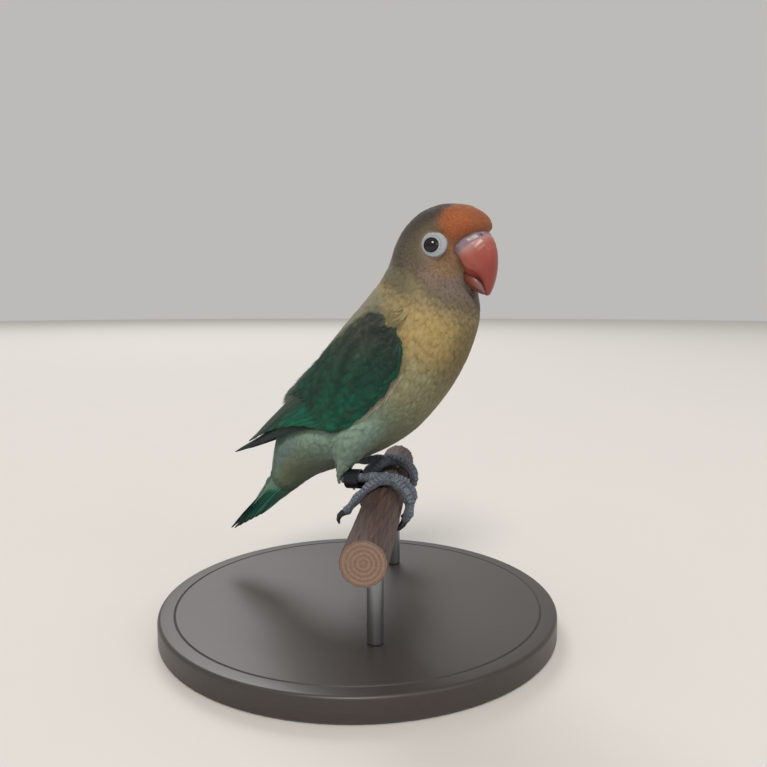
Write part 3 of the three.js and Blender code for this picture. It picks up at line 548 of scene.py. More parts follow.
def tree_of(mesh):
    """A search tree over a mesh, in the bird's millimetres."""
    mesh.calc_loop_triangles()
    corners = np.empty(len(mesh.loop_triangles) * 3, np.int32)
    mesh.loop_triangles.foreach_get("vertices", corners)
    places = frame_to_bird(points_of(mesh))
    return BVHTree.FromPolygons(places.tolist(), corners.reshape(-1, 3).tolist()), places, corners.reshape(-1, 3)


def nearest(tree, points):
    found = [tree.find_nearest(point) for point in points.tolist()]
    return np.array([tuple(hit[0]) for hit in found]), np.array([tuple(hit[1]) for hit in found])


# Bill: the horn of both halves, broad at the base, with the pale cere along it and a nostril on each side.
NOSTRIL = np.array((17.6, 2.9, 5.0))


def horn_shape(name):
    """A bill half in smooth, fine mesh, shaped in the head's own frame."""
    mesh = remeshed(shape_mesh(node_shape([name], 0.1)), 0.22, 7)
    head = frame_to_head(points_of(mesh))
    x, z = head[:, 0], head[:, 2]
    if name == "bill_upper":
        base = smoothstep(x, 19.5, 11)
        head[:, 1] *= 1 + 0.3 * base
        head[:, 2] -= 3.4 * base * smoothstep(z - 0.8 * (x - 14), 3.5, -4.0)
    else:
        head = (head - (7.6, 0, -8)) * (0.7, 0.76, 0.88) + (12.1, 0, -9.6)
    set_points(mesh, head_to_frame(head))
    return mesh


def from_base(head):
    """How far points of the upper bill lie from the plane of its base."""
    return (head[:, 0] - 14.2) * 0.785 - (head[:, 2] - 6.6) * 0.62


def cere_edge(z):
    """How far the cere reaches from the base: farther on the ridge than at the sides."""
    return 2.5 + 0.35 * (z + 1)


def tint_bill(head, upper):
    x, z, down = head[:, 0], head[:, 2], from_base(head)
    tint = np.tile(colour("#964337"), (len(head), 1))
    if not upper:
        tint = stain(tint, "#83483b", 1.0)
        return stain(tint, "#7a5f62", smoothstep(x, 15, 17.5) * 0.7)
    tint = stain(tint, "#9b5041", smoothstep(down, 9.5, 5.0))
    tint = stain(tint, "#86332b", smoothstep(down, 9, 13))
    tint = stain(tint, "#75463a", smoothstep(down, 17, 19))
    # painted highlight: a broad pale pink patch on the upper bill near its base, standing in for its soft gloss
    tint = stain(tint, "#b58f8b", smoothstep(down, 7.6, 3.2) * smoothstep(z, -3.5, 1.5) * 0.85)
    tint = stain(tint, "#84727a", smoothstep(down - cere_edge(z), 1.4, -0.6))
    return stain(tint, "#3a2b2e", smoothstep(np.linalg.norm(head - NOSTRIL, axis=1), 0.7, 0.3))


def make_bill(name):
    mesh = HORNS[name]
    head = frame_to_head(points_of(mesh))
    normals = turned(turned(normals_of(mesh), -BODY_TURN), -HEAD_TURN)
    folded = head * (1, 0, 1) + np.abs(head * (0, 1, 0))
    if name == "bill_upper":
        cere = smoothstep(from_base(head) - cere_edge(head[:, 2]), 0.3, -0.3) * 0.16
        pit = smoothstep(np.linalg.norm(folded - NOSTRIL, axis=1), 0.9, 0.2) * 0.6
        growth = 0.012 * np.sin(from_base(head) * 4.5 + np.sin(head[:, 1]))
        set_points(mesh, head_to_frame(head + normals * (cere - pit + growth)[:, None]))
    set_tint(mesh, tint_bill(folded, name == "bill_upper"))
    piece = mesh_object(f"{name}_horn", mesh, BILL_HORN)
    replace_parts(piece, name)


HORNS = {name: horn_shape(name) for name in ("bill_upper", "bill_lower")}
bill_shape = bmesh.new()
for horn in HORNS.values():
    bill_shape.from_mesh(horn)
bill_tree = tree_of(shape_mesh(bill_shape))[0]

# Skin: one closed form in place of all the flesh, inside it by the depth of the coat.
SWELL = 0.3
COAT_DEPTH = 0.9


def rim_height(s, q):
    """The height over a wing's bed at which the body's rounded surface lies."""
    low, high = np.full(len(s), -3.0), np.full(len(s), 12.0)
    for _ in range(14):
        middle = (low + high) / 2
        beyond = body_reach(on_wing(s, q, middle)) > 1
        low, high = np.where(beyond, low, middle), np.where(beyond, middle, high)
    return low


def wing_block(side):
    """The flesh of a folded wing, thinning out under the flight feathers, and the body closed up round it."""
    block = bmesh.new()
    bmesh.ops.create_grid(block, x_segments=56, y_segments=30, size=0.5)
    walls = bmesh.ops.extrude_face_region(block, geom=block.faces[:])["geom"]
    for vert in walls:
        if isinstance(vert, bmesh.types.BMVert):
            vert.co.z = 1
    flat = shape_points(block)
    s = lerp(-0.07, 0.76, flat[:, 0] + 0.5)
    margin = lerp(5.6, 2.9, smoothstep(s, 0.08, 0.26)) / np.maximum(wing_chord(s), 2)
    q = lerp(-margin, 1 + margin, flat[:, 1] + 0.5)
    high = 4.6 * np.sqrt(np.clip(s / 0.08, 0.15, 1)) * (1 - 0.25 * np.clip(np.abs(2 * q - 1), 0, 1) ** 4)
    high = lerp(lerp(high, 0.6, smoothstep(s, 0.2, 0.5)), 0.2, smoothstep(s, 0.5, 0.7))
    out = np.maximum(np.maximum(-q, q - 1) * wing_chord(s), -s * WING_LENGTH)
    high = np.maximum(lerp(high, rim_height(s, q), smoothstep(out, -0.6, 0.9)), -2.55)
    place = on_wing(s, q, np.where(flat[:, 2] > 0.5, high, -2.6))
    place_shape(block, bird_to_frame(place * (1, -side, 1)))
    bmesh.ops.recalc_face_normals(block, faces=block.faces)
    return block


def make_skin():
    whole = node_shape(["torso", "neck", "head", "thigh_right", "thigh_left", "eye_ring_right", "eye_ring_left",
                        "eye_right", "eye_left"], SWELL)
    bill = node_shape(["bill_upper", "bill_lower"], -0.5)
    flat = frame_to_head(shape_points(bill))
    flat -= np.array((0.785, 0, -0.62)) * np.maximum(from_base(flat) - 10, 0)[:, None]
    place_shape(bill, head_to_frame(flat))
    whole.from_mesh(shape_mesh(bill))
    for side in (-1, 1):
        whole.from_mesh(shape_mesh(wing_block(side)))
    for centre, radii in (((8.0, 0, -7.6), (6.1, 6.6, 5.6)), ((12.3, 0, 7.6), (7.3, 7.2, 5.4))):
        pad = bmesh.new()
        bmesh.ops.create_icosphere(pad, subdivisions=4, radius=1.0)
        place_shape(pad, head_to_frame(shape_points(pad) * radii + centre))
        whole.from_mesh(shape_mesh(pad))
    tail_root = bmesh.new()
    start, way = np.array((-41.6, 0, -6.0)), unit(np.array((-21.1, 0, -21.0)))
    bmesh.ops.create_cone(tail_root, cap_ends=True, segments=24, radius1=5.6, radius2=2.4, depth=15.0)
    turn = Vector((0, 0, 1)).rotation_difference(Vector(way)).to_matrix()
    for vert in tail_root.verts:
        place = np.array(turn @ vert.co) + start + way * 6
        vert.co = bird_to_frame(place)
    whole.from_mesh(shape_mesh(tail_root))
    mesh = remeshed(shape_mesh(whole), 0.75, 9)
    ease_folds(mesh)
    places, normals = frame_to_bird(points_of(mesh)), turned(normals_of(mesh), -BODY_TURN)
    depth = SWELL + coat_depth(places)
    near_bill = np.flatnonzero(np.linalg.norm(bird_to_head(places) - (15, 0, -2), axis=1) < 16)
    hits, hit_normals = nearest(bill_tree, places[near_bill])
    away = places[near_bill] - hits
    in_horn = (away * hit_normals).sum(1) < -0.2
    deeper = depth[near_bill] + 0.9 * smoothstep(np.linalg.norm(away, axis=1), 2.2, 0.4)
    depth[near_bill] = np.where(in_horn, 0.25, deeper)
    set_points(mesh, bird_to_frame(places - normals * depth[:, None]))
    return mesh


def ease_folds(mesh):
    """Rounds the folds round the wings and thighs, and leaves the head, the shins and the tail's root crisp."""
    places = points_of(mesh)
    edges = np.empty(len(mesh.edges) * 2, np.int32)
    mesh.edges.foreach_get("vertices", edges)
    a, b = edges.reshape(-1, 2).T
    shared = np.bincount(edges, minlength=len(places))[:, None]
    bird = frame_to_bird(places)
    place = body_place(bird)
    share = smoothstep(place, 9.6, 8.2) * smoothstep(np.abs(bird[:, 1]), 6, 10) * smoothstep(bird[:, 2], 1, 6)
    share = (share * 0.6)[:, None]
    for _ in range(40):
        around = np.zeros_like(places)
        for axis in range(3):
            forth = np.bincount(a, places[b, axis], len(places))
            around[:, axis] = forth + np.bincount(b, places[a, axis], len(places))
        places = places + (around / shared - places) * share
    set_points(mesh, places)


def coat_depth(places):
    place, _, straight = on_body(places)
    depth = np.where(place < 10, COAT_DEPTH, lerp(COAT_DEPTH, 0.62, smoothstep(place, 9.5, 12)))
    for side in (-1, 1):
        from_eye = np.linalg.norm(bird_to_eye(places, side), axis=1)
        depth = np.minimum(depth, lerp(0.3, 2.0, smoothstep(from_eye, 3.5, 8)))
    face = np.linalg.norm(straight - HEAD_CENTRE - (16, 0, -2), axis=1)
    return np.minimum(depth, lerp(0.3, 2.0, smoothstep(face, 7, 14)))


skin_mesh = make_skin()
skin_tree, skin_points, skin_corners = tree_of(skin_mesh)
skin_normals = turned(normals_of(skin_mesh), -BODY_TURN)
set_tint(skin_mesh, markings(skin_points) * 0.95)
skin = mesh_object("skin", skin_mesh, BODY_SKIN)
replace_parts(skin, "torso", "neck", "head", "thigh_right", "thigh_left")


# Contour feathers: a narrow vane, then loose barbs that fray its outer half. Each point is a place along, a place
# across and a height, as shares of the feather's length and width.
def tuft_form(rings, barbs, fine):
    points, faces = [], []
    for along, wide in rings[:-1]:
        points += [(along, -wide, 0.0), (along, 0.0, 0.1 * wide + 0.03), (along, wide, 0.0)]
    points.append((rings[-1][0], 0.0, 0.02))
    faces.append((0, 2, 1))
    for i in range(len(rings) - 2):
        for k in range(3):
            a, b = 3 * i + k, 3 * i + (k + 1) % 3
            faces += [(a, b, b + 3), (a, b + 3, a + 3)]
    last = 3 * (len(rings) - 2)
    faces += [(last + k, last + (k + 1) % 3, last + 3) for k in range(3)]
    for i in range(barbs):
        out = np.clip(2 * (i + 0.5) / barbs - 1 + chance.normal(0, 0.05), -1, 1)
        base = 0.62 - 0.34 * abs(out) + 0.1 * chance.random()
        far = 1.2 - 0.34 * abs(out) ** 1.5 + chance.normal(0, 0.06)
        first, across, high = len(points), 0.78 * out, 0.07 * (1 - out * out) + 0.02
        points += [(base, across - fine, high), (base + 0.04, across, high + 0.09), (base, across + fine, high),
                   (far, across * 1.12 + 0.22 * out + chance.normal(0, 0.05), high)]
        faces += [(first, first + 2, first + 1)] + [(first + k, first + (k + 1) % 3, first + 3) for k in range(3)]
    return np.array(points), np.array(faces)


BODY_TUFTS = [tuft_form([(0, 0.35), (0.3, 0.78), (0.62, 0.82), (0.84, 0.42), (0.98, 0)], 13, 0.075) for _ in range(4)]
HEAD_TUFTS = [tuft_form([(0, 0.4), (0.35, 0.8), (0.7, 0.6), (0.95, 0)], 7, 0.11) for _ in range(4)]


def skin_under(roots, normals, ways, length):
    """Where the tips of feathers come to lie on the skin, and its normals there."""
    straight = roots + ways * length[:, None]
    tips, tip_normals = nearest(skin_tree, straight)
    turned_over = (tip_normals * normals).sum(1) < 0.35
    climb = (unit(tips - roots) * normals).sum(1)
    steep = (climb > 0.2) | (climb < -0.6)
    gone = (turned_over | steep | (np.linalg.norm(tips - straight, axis=1) > 0.6 * length))[:, None]
    return np.where(gone, straight, tips), np.where(gone, normals, tip_normals), gone[:, 0]


def grow_feathers(template, roots, normals, tips, tip_normals, width, lift):
    """Points of many feathers that lie along a surface, and the way up at each."""
    length = np.linalg.norm(tips - roots, axis=1)[:, None]
    straight = unit(tips - roots)
    bend = np.clip(1 - (normals * tip_normals).sum(1, keepdims=True), 0, 0.4)
    arch = unit(normals + tip_normals) * length * 0.5 * bend
    t = template[:, 0][None, :, None]
    spine = roots[:, None] + (tips - roots)[:, None] * t + arch[:, None] * 4 * t * (1 - np.minimum(t, 1))
    up = unit(lerp(normals[:, None], tip_normals[:, None], t))
    side = unit(np.cross(up, straight[:, None]))
    far = template[None, :, 0]
    rise = -0.3 + (lift[:, None] + 0.3) * (1 - (1 - np.minimum(far, 1)) ** 1.7)
    rise = rise - 0.5 * lift[:, None] * np.maximum(far - 0.8, 0)
    rise = rise + template[None, :, 2] * width[:, None]
    return spine + side * (template[None, :, 1] * width[:, None])[..., None] + up * rise[..., None], up


def outward(points, faces):
    """Faces turned so that a closed form's volume is positive."""
    a, b, c = (points[faces[:, k]] for k in range(3))
    return faces if (a * np.cross(b, c)).sum() > 0 else faces[:, ::-1]


def soften_normals(mesh, ups, share):
    """Turns the shading of small feathers toward the form that they lie on, as light passes through their barbs."""
    corners, flat = np.empty(len(mesh.loops), np.int32), np.empty(len(mesh.polygons) * 3, np.float32)
    mesh.loops.foreach_get("vertex_index", corners)
    mesh.polygons.foreach_get("normal", flat)
    flat = np.repeat(flat.reshape(-1, 3).astype(float), 3, axis=0)
    blended = unit(normals_of(mesh) * (1 - share) + turned(ups, BODY_TURN) * share)[corners]
    against = (blended * flat).sum(1, keepdims=True) < 0.05
    mesh.normals_split_custom_set(np.where(against, flat, blended).tolist())


def coat_piece(name, forms, roots, normals, tips, tip_normals, width, lift, tints, spots):
    """One joined mesh of many feathers, with its bake map: a small patch for each at its root's spot."""
    kinds = chance.integers(0, len(forms), len(roots))
    points, ups, shades, places, triangles, first = [], [], [], [], [], 0
    for kind, (template, faces) in enumerate(forms):
        chosen = np.flatnonzero(kinds == kind)
        if not len(chosen):
            continue
        grown, up = grow_feathers(template, roots[chosen], normals[chosen], tips[chosen], tip_normals[chosen],
                                  width[chosen], lift[chosen])
        faces = outward(grown[0] - grown[0].mean(0), faces)
        each = len(template)
        triangles.append((faces[None] + first + (np.arange(len(chosen)) * each)[:, None, None]).reshape(-1, 3))
        first += len(chosen) * each
        # Each feather is painted slightly darker at its root, as shade under the feather above, with a small random
        # tone of its own.
        shade = (0.98 + 0.03 * template[None, :, 0, None]) * chance.normal(1, 0.02, (len(chosen), 1, 1))
        patch = np.stack((template[:, 1] * 0.5, template[:, 0] - 0.5), -1) * 0.003
        points.append(grown.reshape(-1, 3))
        ups.append(up.reshape(-1, 3))
        shades.append((tints[chosen][:, None] * shade).reshape(-1, 3))
        places.append((spots[chosen][:, None] + patch[None]).reshape(-1, 2))
    mesh = mesh_of(bird_to_frame(np.concatenate(points)), np.concatenate(triangles))
    set_tint(mesh, np.concatenate(shades))
    set_map(mesh, "OFBake", np.concatenate(places))
    mesh_object(name, mesh, PLUMAGE)
    soften_normals(mesh, np.concatenate(ups), 0.88)


CELL = 1.6  # side of the boxes that near points are looked up in


def crowded(cells, place, box, gap):
    """True where a point that was kept lies nearer than the gap."""
    x, y, z = place
    i, j, k = box
    reach = 1 if gap <= CELL else 2
    for di in range(-reach, reach + 1):
        for dj in range(-reach, reach + 1):
            for dk in range(-reach, reach + 1):
                for px, py, pz in cells.get((i + di, j + dj, k + dk), ()):
                    if (px - x) ** 2 + (py - y) ** 2 + (pz - z) ** 2 < gap * gap:
                        return True
    return False


def spread_roots(tree_points, corners, normals, spacing, tries):
    """Points scattered over a skin, none nearer to another than the spacing there."""
    a, b, c = (tree_points[corners[:, k]] for k in range(3))
    area = np.linalg.norm(np.cross(b - a, c - a), axis=1) / 2
    gap_at = spacing(tree_points)
    weight = area / gap_at[corners].mean(1) ** 2
    weight[gap_at[corners].max(1) > 90] = 0
    picked = chance.choice(len(corners), size=tries, p=weight / weight.sum())
    u, v = chance.random(tries), chance.random(tries)
    u, v = np.where(u + v > 1, 1 - u, u)[:, None], np.where(u + v > 1, 1 - v, v)[:, None]
    places = a[picked] * (1 - u - v) + b[picked] * u + c[picked] * v
    na, nb, nc = (normals[corners[picked, k]] for k in range(3))
    ups = unit(na * (1 - u - v) + nb * u + nc * v)
    gaps = gap_at[corners[picked, 0]]
    kept, cells = [], {}
    for i, place in enumerate(places.tolist()):
        box = tuple(int(value // CELL) for value in place)
        if not crowded(cells, place, box, gaps[i]):
            kept.append(i)
            cells.setdefault(box, []).append(place)
    kept = np.array(kept)
    return places[kept], ups[kept]


# Where the coat grows and how long it is.
wing_s, wing_q = np.meshgrid(np.linspace(0, 0.66, 45), np.linspace(0, 1, 22), indexing="ij")
wing_grid = on_wing(wing_s, wing_q, 3.5).reshape(-1, 3)
wing_grid_normals = wing_normal(wing_s, wing_q).reshape(-1, 3)


def under_wing(places):
    """True where a point of the skin lies under a folded wing's long feathers."""
    folded = places * np.where(places[:, 1:2] > 0, (1, -1, 1), (1, 1, 1))
    found = np.zeros(len(places), bool)
    near = np.flatnonzero(folded[:, 1] < -4)
    for part in np.array_split(near, max(1, len(near) // 2000)):
        apart = ((folded[part, None] - wing_grid) ** 2).sum(-1)
        best = apart.argmin(1)
        s, q = wing_s.ravel()[best], wing_q.ravel()[best]
        inside = (s > 0.14) & (q > 0.17) & (q < 0.83) & (apart.min(1) < 42)
        found[part] = inside
    return found


TAIL_ROOT = np.array((-42.8, 0, -7.3))
TAIL_TIP = np.array((-63.9, 0, -28.3))
TAIL_LENGTH = np.linalg.norm(TAIL_TIP - TAIL_ROOT)
TAIL_ALONG = unit(TAIL_TIP - TAIL_ROOT)
TAIL_UP = np.array((TAIL_ALONG[2], 0, -TAIL_ALONG[0]))


def bird_to_tail(places):
    """Places along the tail, to its left and above it."""
    return (np.asarray(places) - TAIL_ROOT) @ np.array((TAIL_ALONG, (0, 1, 0), TAIL_UP)).T


def feather_length(places):
    place, turn, straight = on_body(places)
    above = np.sin(turn)
    length = lerp(5.4, 4.0, smoothstep(place, 8.5, 10.5))
    length = lerp(length, 2.9, smoothstep(place, 10.5, 12.5))
    length = lerp(length, 5.8, smoothstep(above, 0.2, 0.7) * smoothstep(place, 9, 7))
    face = np.linalg.norm(straight - HEAD_CENTRE - (15, 0, 0), axis=1)
    length = lerp(1.7, length, smoothstep(face, 8, 18))
    for side in (-1, 1):
        length = lerp(1.1, length, smoothstep(np.linalg.norm(bird_to_eye(places, side), axis=1), 4.5, 8))
    low_leg = smoothstep(straight[:, 2], 12, 4) * (np.abs(straight[:, 1]) > 9) * smoothstep(straight[:, 0], -22, -16)
    return lerp(length, 3.0, low_leg)


def bare(places):
    """True where no feather grows: under the bill, on the eyes and their rings, and under the wings."""
    hidden = under_wing(places)
    head = np.flatnonzero(bird_to_head(places)[:, 2] > -18)
    hits, hit_normals = nearest(bill_tree, places[head])
    away = places[head] - hits
    hidden[head] |= ((away * hit_normals).sum(1) < 0.35) & (np.linalg.norm(away, axis=1) < 3)
    for side in (-1, 1):
        eye = bird_to_eye(places[head], side)
        radius = np.hypot(eye[:, 0] - RING_SHIFT[0] * 0.9, eye[:, 1] - RING_SHIFT[1] * 0.9)
        hidden[head] |= (radius < RING_OUTER + 0.1) & (eye[:, 2] > -3) & (eye[:, 2] < 4)
    hidden |= (bird_to_tail(places)[:, 0] > 3.5) & (places[:, 2] < 4)
    face = bird_to_head(places)
    hidden |= (face[:, 0] > 14.8) & (face[:, 2] < 2.5)
    return hidden


def root_gap(places):
    gap = 0.195 * feather_length(places)
    gap[bare(places)] = 99
    return gap


ROOT_TRIES = 160000
roots, root_normals = spread_roots(skin_points, skin_corners, skin_normals, root_gap, ROOT_TRIES)
open_places = ~bare(roots)
roots, root_normals = roots[open_places], root_normals[open_places]
root_place, root_turn, root_straight = on_body(roots)
ways = lie_at(root_straight, root_normals)
ways = unit(ways + np.cross(root_normals, ways) * chance.normal(0, 0.13, (len(roots), 1)))
lengths = feather_length(roots) * chance.normal(1, 0.11, len(roots))
tips, tip_normals, in_fold = skin_under(roots, root_normals, ways, lengths)
tints = markings(roots + ways * (lengths * 0.5)[:, None])
spots = np.stack((root_turn / (2 * np.pi) + 0.5, np.clip(root_place / 17, 0, 1)), -1) * 0.98 + 0.01
depths = np.minimum(coat_depth(roots), COAT_DEPTH)
on_head = root_place > 10.6
grown = ~in_fold | (root_place > 9.8)


def grow_region(name, chosen, form=BODY_TUFTS, width=0.26):
    picked = np.flatnonzero(chosen & grown)
    coat_piece(name, form, roots[picked], root_normals[picked], tips[picked], tip_normals[picked],
               lengths[picked] * width, depths[picked] * chance.normal(0.32, 0.06, len(picked)), tints[picked],
               spots[picked])


above_back = np.sin(root_turn) > 0.15
low_leg = (root_straight[:, 2] < 14) & (np.abs(root_straight[:, 1]) > 9) & (root_straight[:, 0] > -24)
on_neck = ~on_head & (root_place > 8.6)
on_trunk = ~on_head & (root_place <= 8.6)
in_front, below = root_place > 12.4, root_place <= 5.6
for name, chosen in (("crown", above_back), ("face", ~above_back & in_front), ("cheeks", ~above_back & ~in_front)):
    grow_region(f"coat_{name}", on_head & chosen, HEAD_TUFTS, 0.25)
grow_region("coat_neck", on_neck)
for name, chosen in (("back", above_back), ("breast", ~below & ~above_back),
                     ("belly", below & ~above_back & ~low_leg), ("thighs", below & ~above_back & low_leg)):
    grow_region(f"coat_{name}", on_trunk & chosen)


# Long feathers: closed vanes with a raised quill. Each is given by its spine, its normals and its two half widths.
ACROSS = np.array((-1.0, -0.62, -0.26, -0.06, 0.0, 0.06, 0.26, 0.62, 1.0))


def vane_points(spine, normals, left, right, camber, thick, drop):
    """Points of vanes as arrays: feather, step along, place across, face, xyz."""
    along = unit(np.gradient(spine, axis=1))
    side = unit(np.cross(normals, along))
    up = np.cross(along, side)
    wide = np.where(ACROSS[None, None] < 0, left[..., None], right[..., None]) * ACROSS
    far = np.linspace(0, 1, spine.shape[1])[:, None] ** 2
    ridge = np.where(np.abs(ACROSS) < 0.03, 1.0, 0.0) * 0.14 * (1 - far)
    height = camber * (1 - ACROSS**2) + ridge
    droop = drop * far
    top = spine[:, :, None] + side[:, :, None] * wide[..., None] + up[:, :, None] * (height - droop)[..., None]
    bottom = top - up[:, :, None] * (thick * (1 - 0.6 * np.abs(ACROSS)))[None, None, :, None]
    return np.stack((top, bottom), 3)


def vane_faces(steps):
    columns, faces = len(ACROSS), []

    def at(i, k, face):
        return (i * columns + k) * 2 + face

    def quad(a, b, c, d):
        faces.extend(((a, b, c), (a, c, d)))

    for i in range(steps - 1):
        for k in range(columns - 1):
            quad(at(i, k, 0), at(i, k + 1, 0), at(i + 1, k + 1, 0), at(i + 1, k, 0))
            under, over = at(i, k, 1), at(i + 1, k + 1, 1)
            faces.extend(((under, over, at(i, k + 1, 1)), (under, at(i + 1, k, 1), over)))
        quad(at(i, 0, 1), at(i, 0, 0), at(i + 1, 0, 0), at(i + 1, 0, 1))
        quad(at(i, columns - 1, 0), at(i, columns - 1, 1), at(i + 1, columns - 1, 1), at(i + 1, columns - 1, 0))
    for k in range(columns - 1):
        quad(at(0, k, 0), at(0, k, 1), at(0, k + 1, 1), at(0, k + 1, 0))
        quad(at(steps - 1, k, 0), at(steps - 1, k + 1, 0), at(steps - 1, k + 1, 1), at(steps - 1, k, 1))
    return np.array(faces)


def feather_outline(t, blunt):
    """Half width along a vane: quickly full, then rounded to the tip. A low bluntness gives a point."""
    start = lerp(0.45, 1.0, smoothstep(t, 0, 0.25))
    past = np.clip((t - (1 - 0.36)) / 0.36, 0, 1)
    return start * np.clip(1 - past**blunt, 0.03, 1) ** 0.7


def vane_mesh(points, tints, spots, side):
    """Joins vanes into one mesh with tint, barb and bake maps, mirrored for a left side."""
    count, steps = points.shape[:2]
    places = points.reshape(-1, 3) * (1, -side, 1)
    each = steps * len(ACROSS) * 2
    first = places[:each]
    faces = outward(first - first.mean(0), vane_faces(steps))
    triangles = (faces[None] + (np.arange(count) * each)[:, None, None]).reshape(-1, 3)
    mesh = mesh_of(bird_to_frame(places), triangles)
    set_tint(mesh, np.repeat(tints[:, :, :, None], 2, 3).reshape(-1, 3))
    steps_along = np.linalg.norm(np.diff(points[:, :, 4, 0], axis=1), axis=-1)
    run = np.concatenate((np.zeros((count, 1)), np.cumsum(steps_along, 1)), 1)
    over = np.linalg.norm(points[:, :, :, 0] - points[:, :, 4:5, 0], axis=-1) * np.sign(ACROSS)
    barb = np.stack((over + np.arange(count)[:, None, None] * 7.3, run[:, :, None] - 1.1 * np.abs(over)), -1)
    set_map(mesh, "Barbs", np.repeat(barb[:, :, :, None], 2, 3).reshape(-1, 2))
    patch = np.stack(np.broadcast_arrays(ACROSS[None] * 0.5, np.linspace(-0.5, 0.5, steps)[:, None]), -1) * 0.003
    bake = spots[:, None, None] + patch[None]
    set_map(mesh, "OFBake", np.repeat(bake[:, :, :, None], 2, 3).reshape(-1, 2))
    return mesh


STEPS = 18
LEAN = math.radians(8)  # how far each long feather tips, so that its lower edge lies over the next


def wing_tier(count, root, tip, q_root, q_tip, heights, half, blunt, rise):
    """Feathers of one tier, the first nearest the upper edge. Values given as pairs run from the first to the last."""
    share = np.linspace(0, 1, count)
    t = np.linspace(0, 1, STEPS) ** 0.9
    s = lerp(lerp(*root, share)[:, None], (lerp(*tip, share) + chance.normal(0, 0.004, count))[:, None], t[None])
    q = lerp(lerp(*q_root, share)[:, None], lerp(*q_tip, share)[:, None], t[None])
    height = lerp(heights[0], heights[1], smoothstep(t, *rise))[None]
    spine = on_wing(s, q, height)
    normals = wing_normal(s, q)
    along = unit(np.gradient(spine, axis=1))
    side = np.cross(normals, along)
    normals = unit(normals * math.cos(LEAN) - side * math.sin(LEAN))
    shape = feather_outline(t, blunt)[None] * lerp(*half, share)[:, None]
    ragged = (1 + chance.normal(0, 0.025, (2, count, STEPS))) * (1 - 0.3 * (chance.random((2, count, STEPS)) < 0.09))
    return vane_points(spine, normals, shape * ragged[0], shape * ragged[1], 0.25, 0.14, 0.15), s, q


def wing_tint(kind, s, q):
    """The folded wing's colours: brown and dark teal at the shoulder, then green round dark hearts, then slate."""
    shape = (*s.shape, len(ACROSS))
    s3, q3 = (np.broadcast_to(value[:, :, None], shape) for value in (s, q))
    t3 = np.broadcast_to(np.linspace(0, 1, s.shape[1])[None, :, None], shape)
    edge = np.broadcast_to(ACROSS[None, None], shape) + chance.normal(0, 0.2, (s.shape[0], 1, 1))
    if kind == "primary":
        tint = np.tile(colour("#262b30"), (*shape, 1))
        tint = stain(tint, "#203531", smoothstep(edge, 0.1, 0.8) * smoothstep(t3, 0.95, 0.5))
        return stain(tint, "#1f2226", smoothstep(edge, -0.3, -0.9) * 0.7 + smoothstep(q3, 0.6, 0.9) * 0.5)
    tint = np.tile(colour("#182a26"), (*shape, 1))
    green = smoothstep(edge, -0.75, 0.25) * smoothstep(t3, 0.05, 0.5)
    tint = stain(tint, "#0f5140", green * lerp(0.75, 1.0, chance.random((s.shape[0], 1, 1))))
    bright = smoothstep(q3, 0.25, 0.7) * smoothstep(s3, 0.22, 0.5)
    tint = stain(tint, "#12684d", green * bright * 0.8)
    tint = stain(tint, "#2f3a34", smoothstep(s3, 0.46, 0.16) * smoothstep(q3, 0.95, 0.35) * 0.75)
    tint = stain(tint, "#4b4a42", smoothstep(s3, 0.5, 0.2) * smoothstep(q3, 0.3, 0.02) * 0.6)
    if kind == "secondary":
        tint = stain(tint, "#263230", smoothstep(q3, 0.35, 0.1) * 0.6)
    tint = stain(tint, "#141d1b", smoothstep(np.abs(np.broadcast_to(ACROSS, shape)), 0.07, 0.0) * 0.4)
    dull = chance.random((s.shape[0], 1, 1)) ** 3
    return stain(tint, "#363c36", dull * 0.7) * chance.normal(1, 0.1, (s.shape[0], 1, 1, 1))


# Tiers of wing feathers: kind and count, then s at the root and at the tip, q at the root and at the tip, heights,
# half width, bluntness, and where the height rises.
WING_TIERS = [
    ("primary", 7, (0.42, 0.5), (0.86, 0.995), (0.55, 0.9), (0.4, 0.5), (0.7, 1.5), (2.1, 2.0), 1.7, (0, 0.3)),
    ("secondary", 10, (0.2, 0.36), (0.93, 0.57), (0.1, 0.9), (0.28, 0.93), (1.2, 2.6), (2.6, 2.7), 2.4, (0, 0.5)),
    ("covert", 11, (0.14, 0.15), (0.60, 0.47), (0.05, 0.93), (0.06, 0.94), (2.4, 3.5), (2.0, 2.1), 2.2, (0.1, 0.8)),
    ("covert", 11, (0.1, 0.11), (0.5, 0.39), (0.06, 0.94), (0.07, 0.94), (3.0, 4.2), (1.8, 1.9), 2.2, (0.1, 0.8)),
    ("covert", 11, (0.07, 0.08), (0.41, 0.32), (0.07, 0.93), (0.06, 0.94), (3.5, 4.8), (1.7, 1.7), 2.2, (0.1, 0.8)),
    ("covert", 10, (0.04, 0.05), (0.33, 0.25), (0.06, 0.94), (0.07, 0.93), (3.9, 5.2), (1.6, 1.6), 2.2, (0.1, 0.8)),
    ("covert", 10, (0.02, 0.03), (0.26, 0.19), (0.08, 0.92), (0.07, 0.93), (3.9, 5.4), (1.5, 1.5), 2.2, (0.1, 0.8)),
]


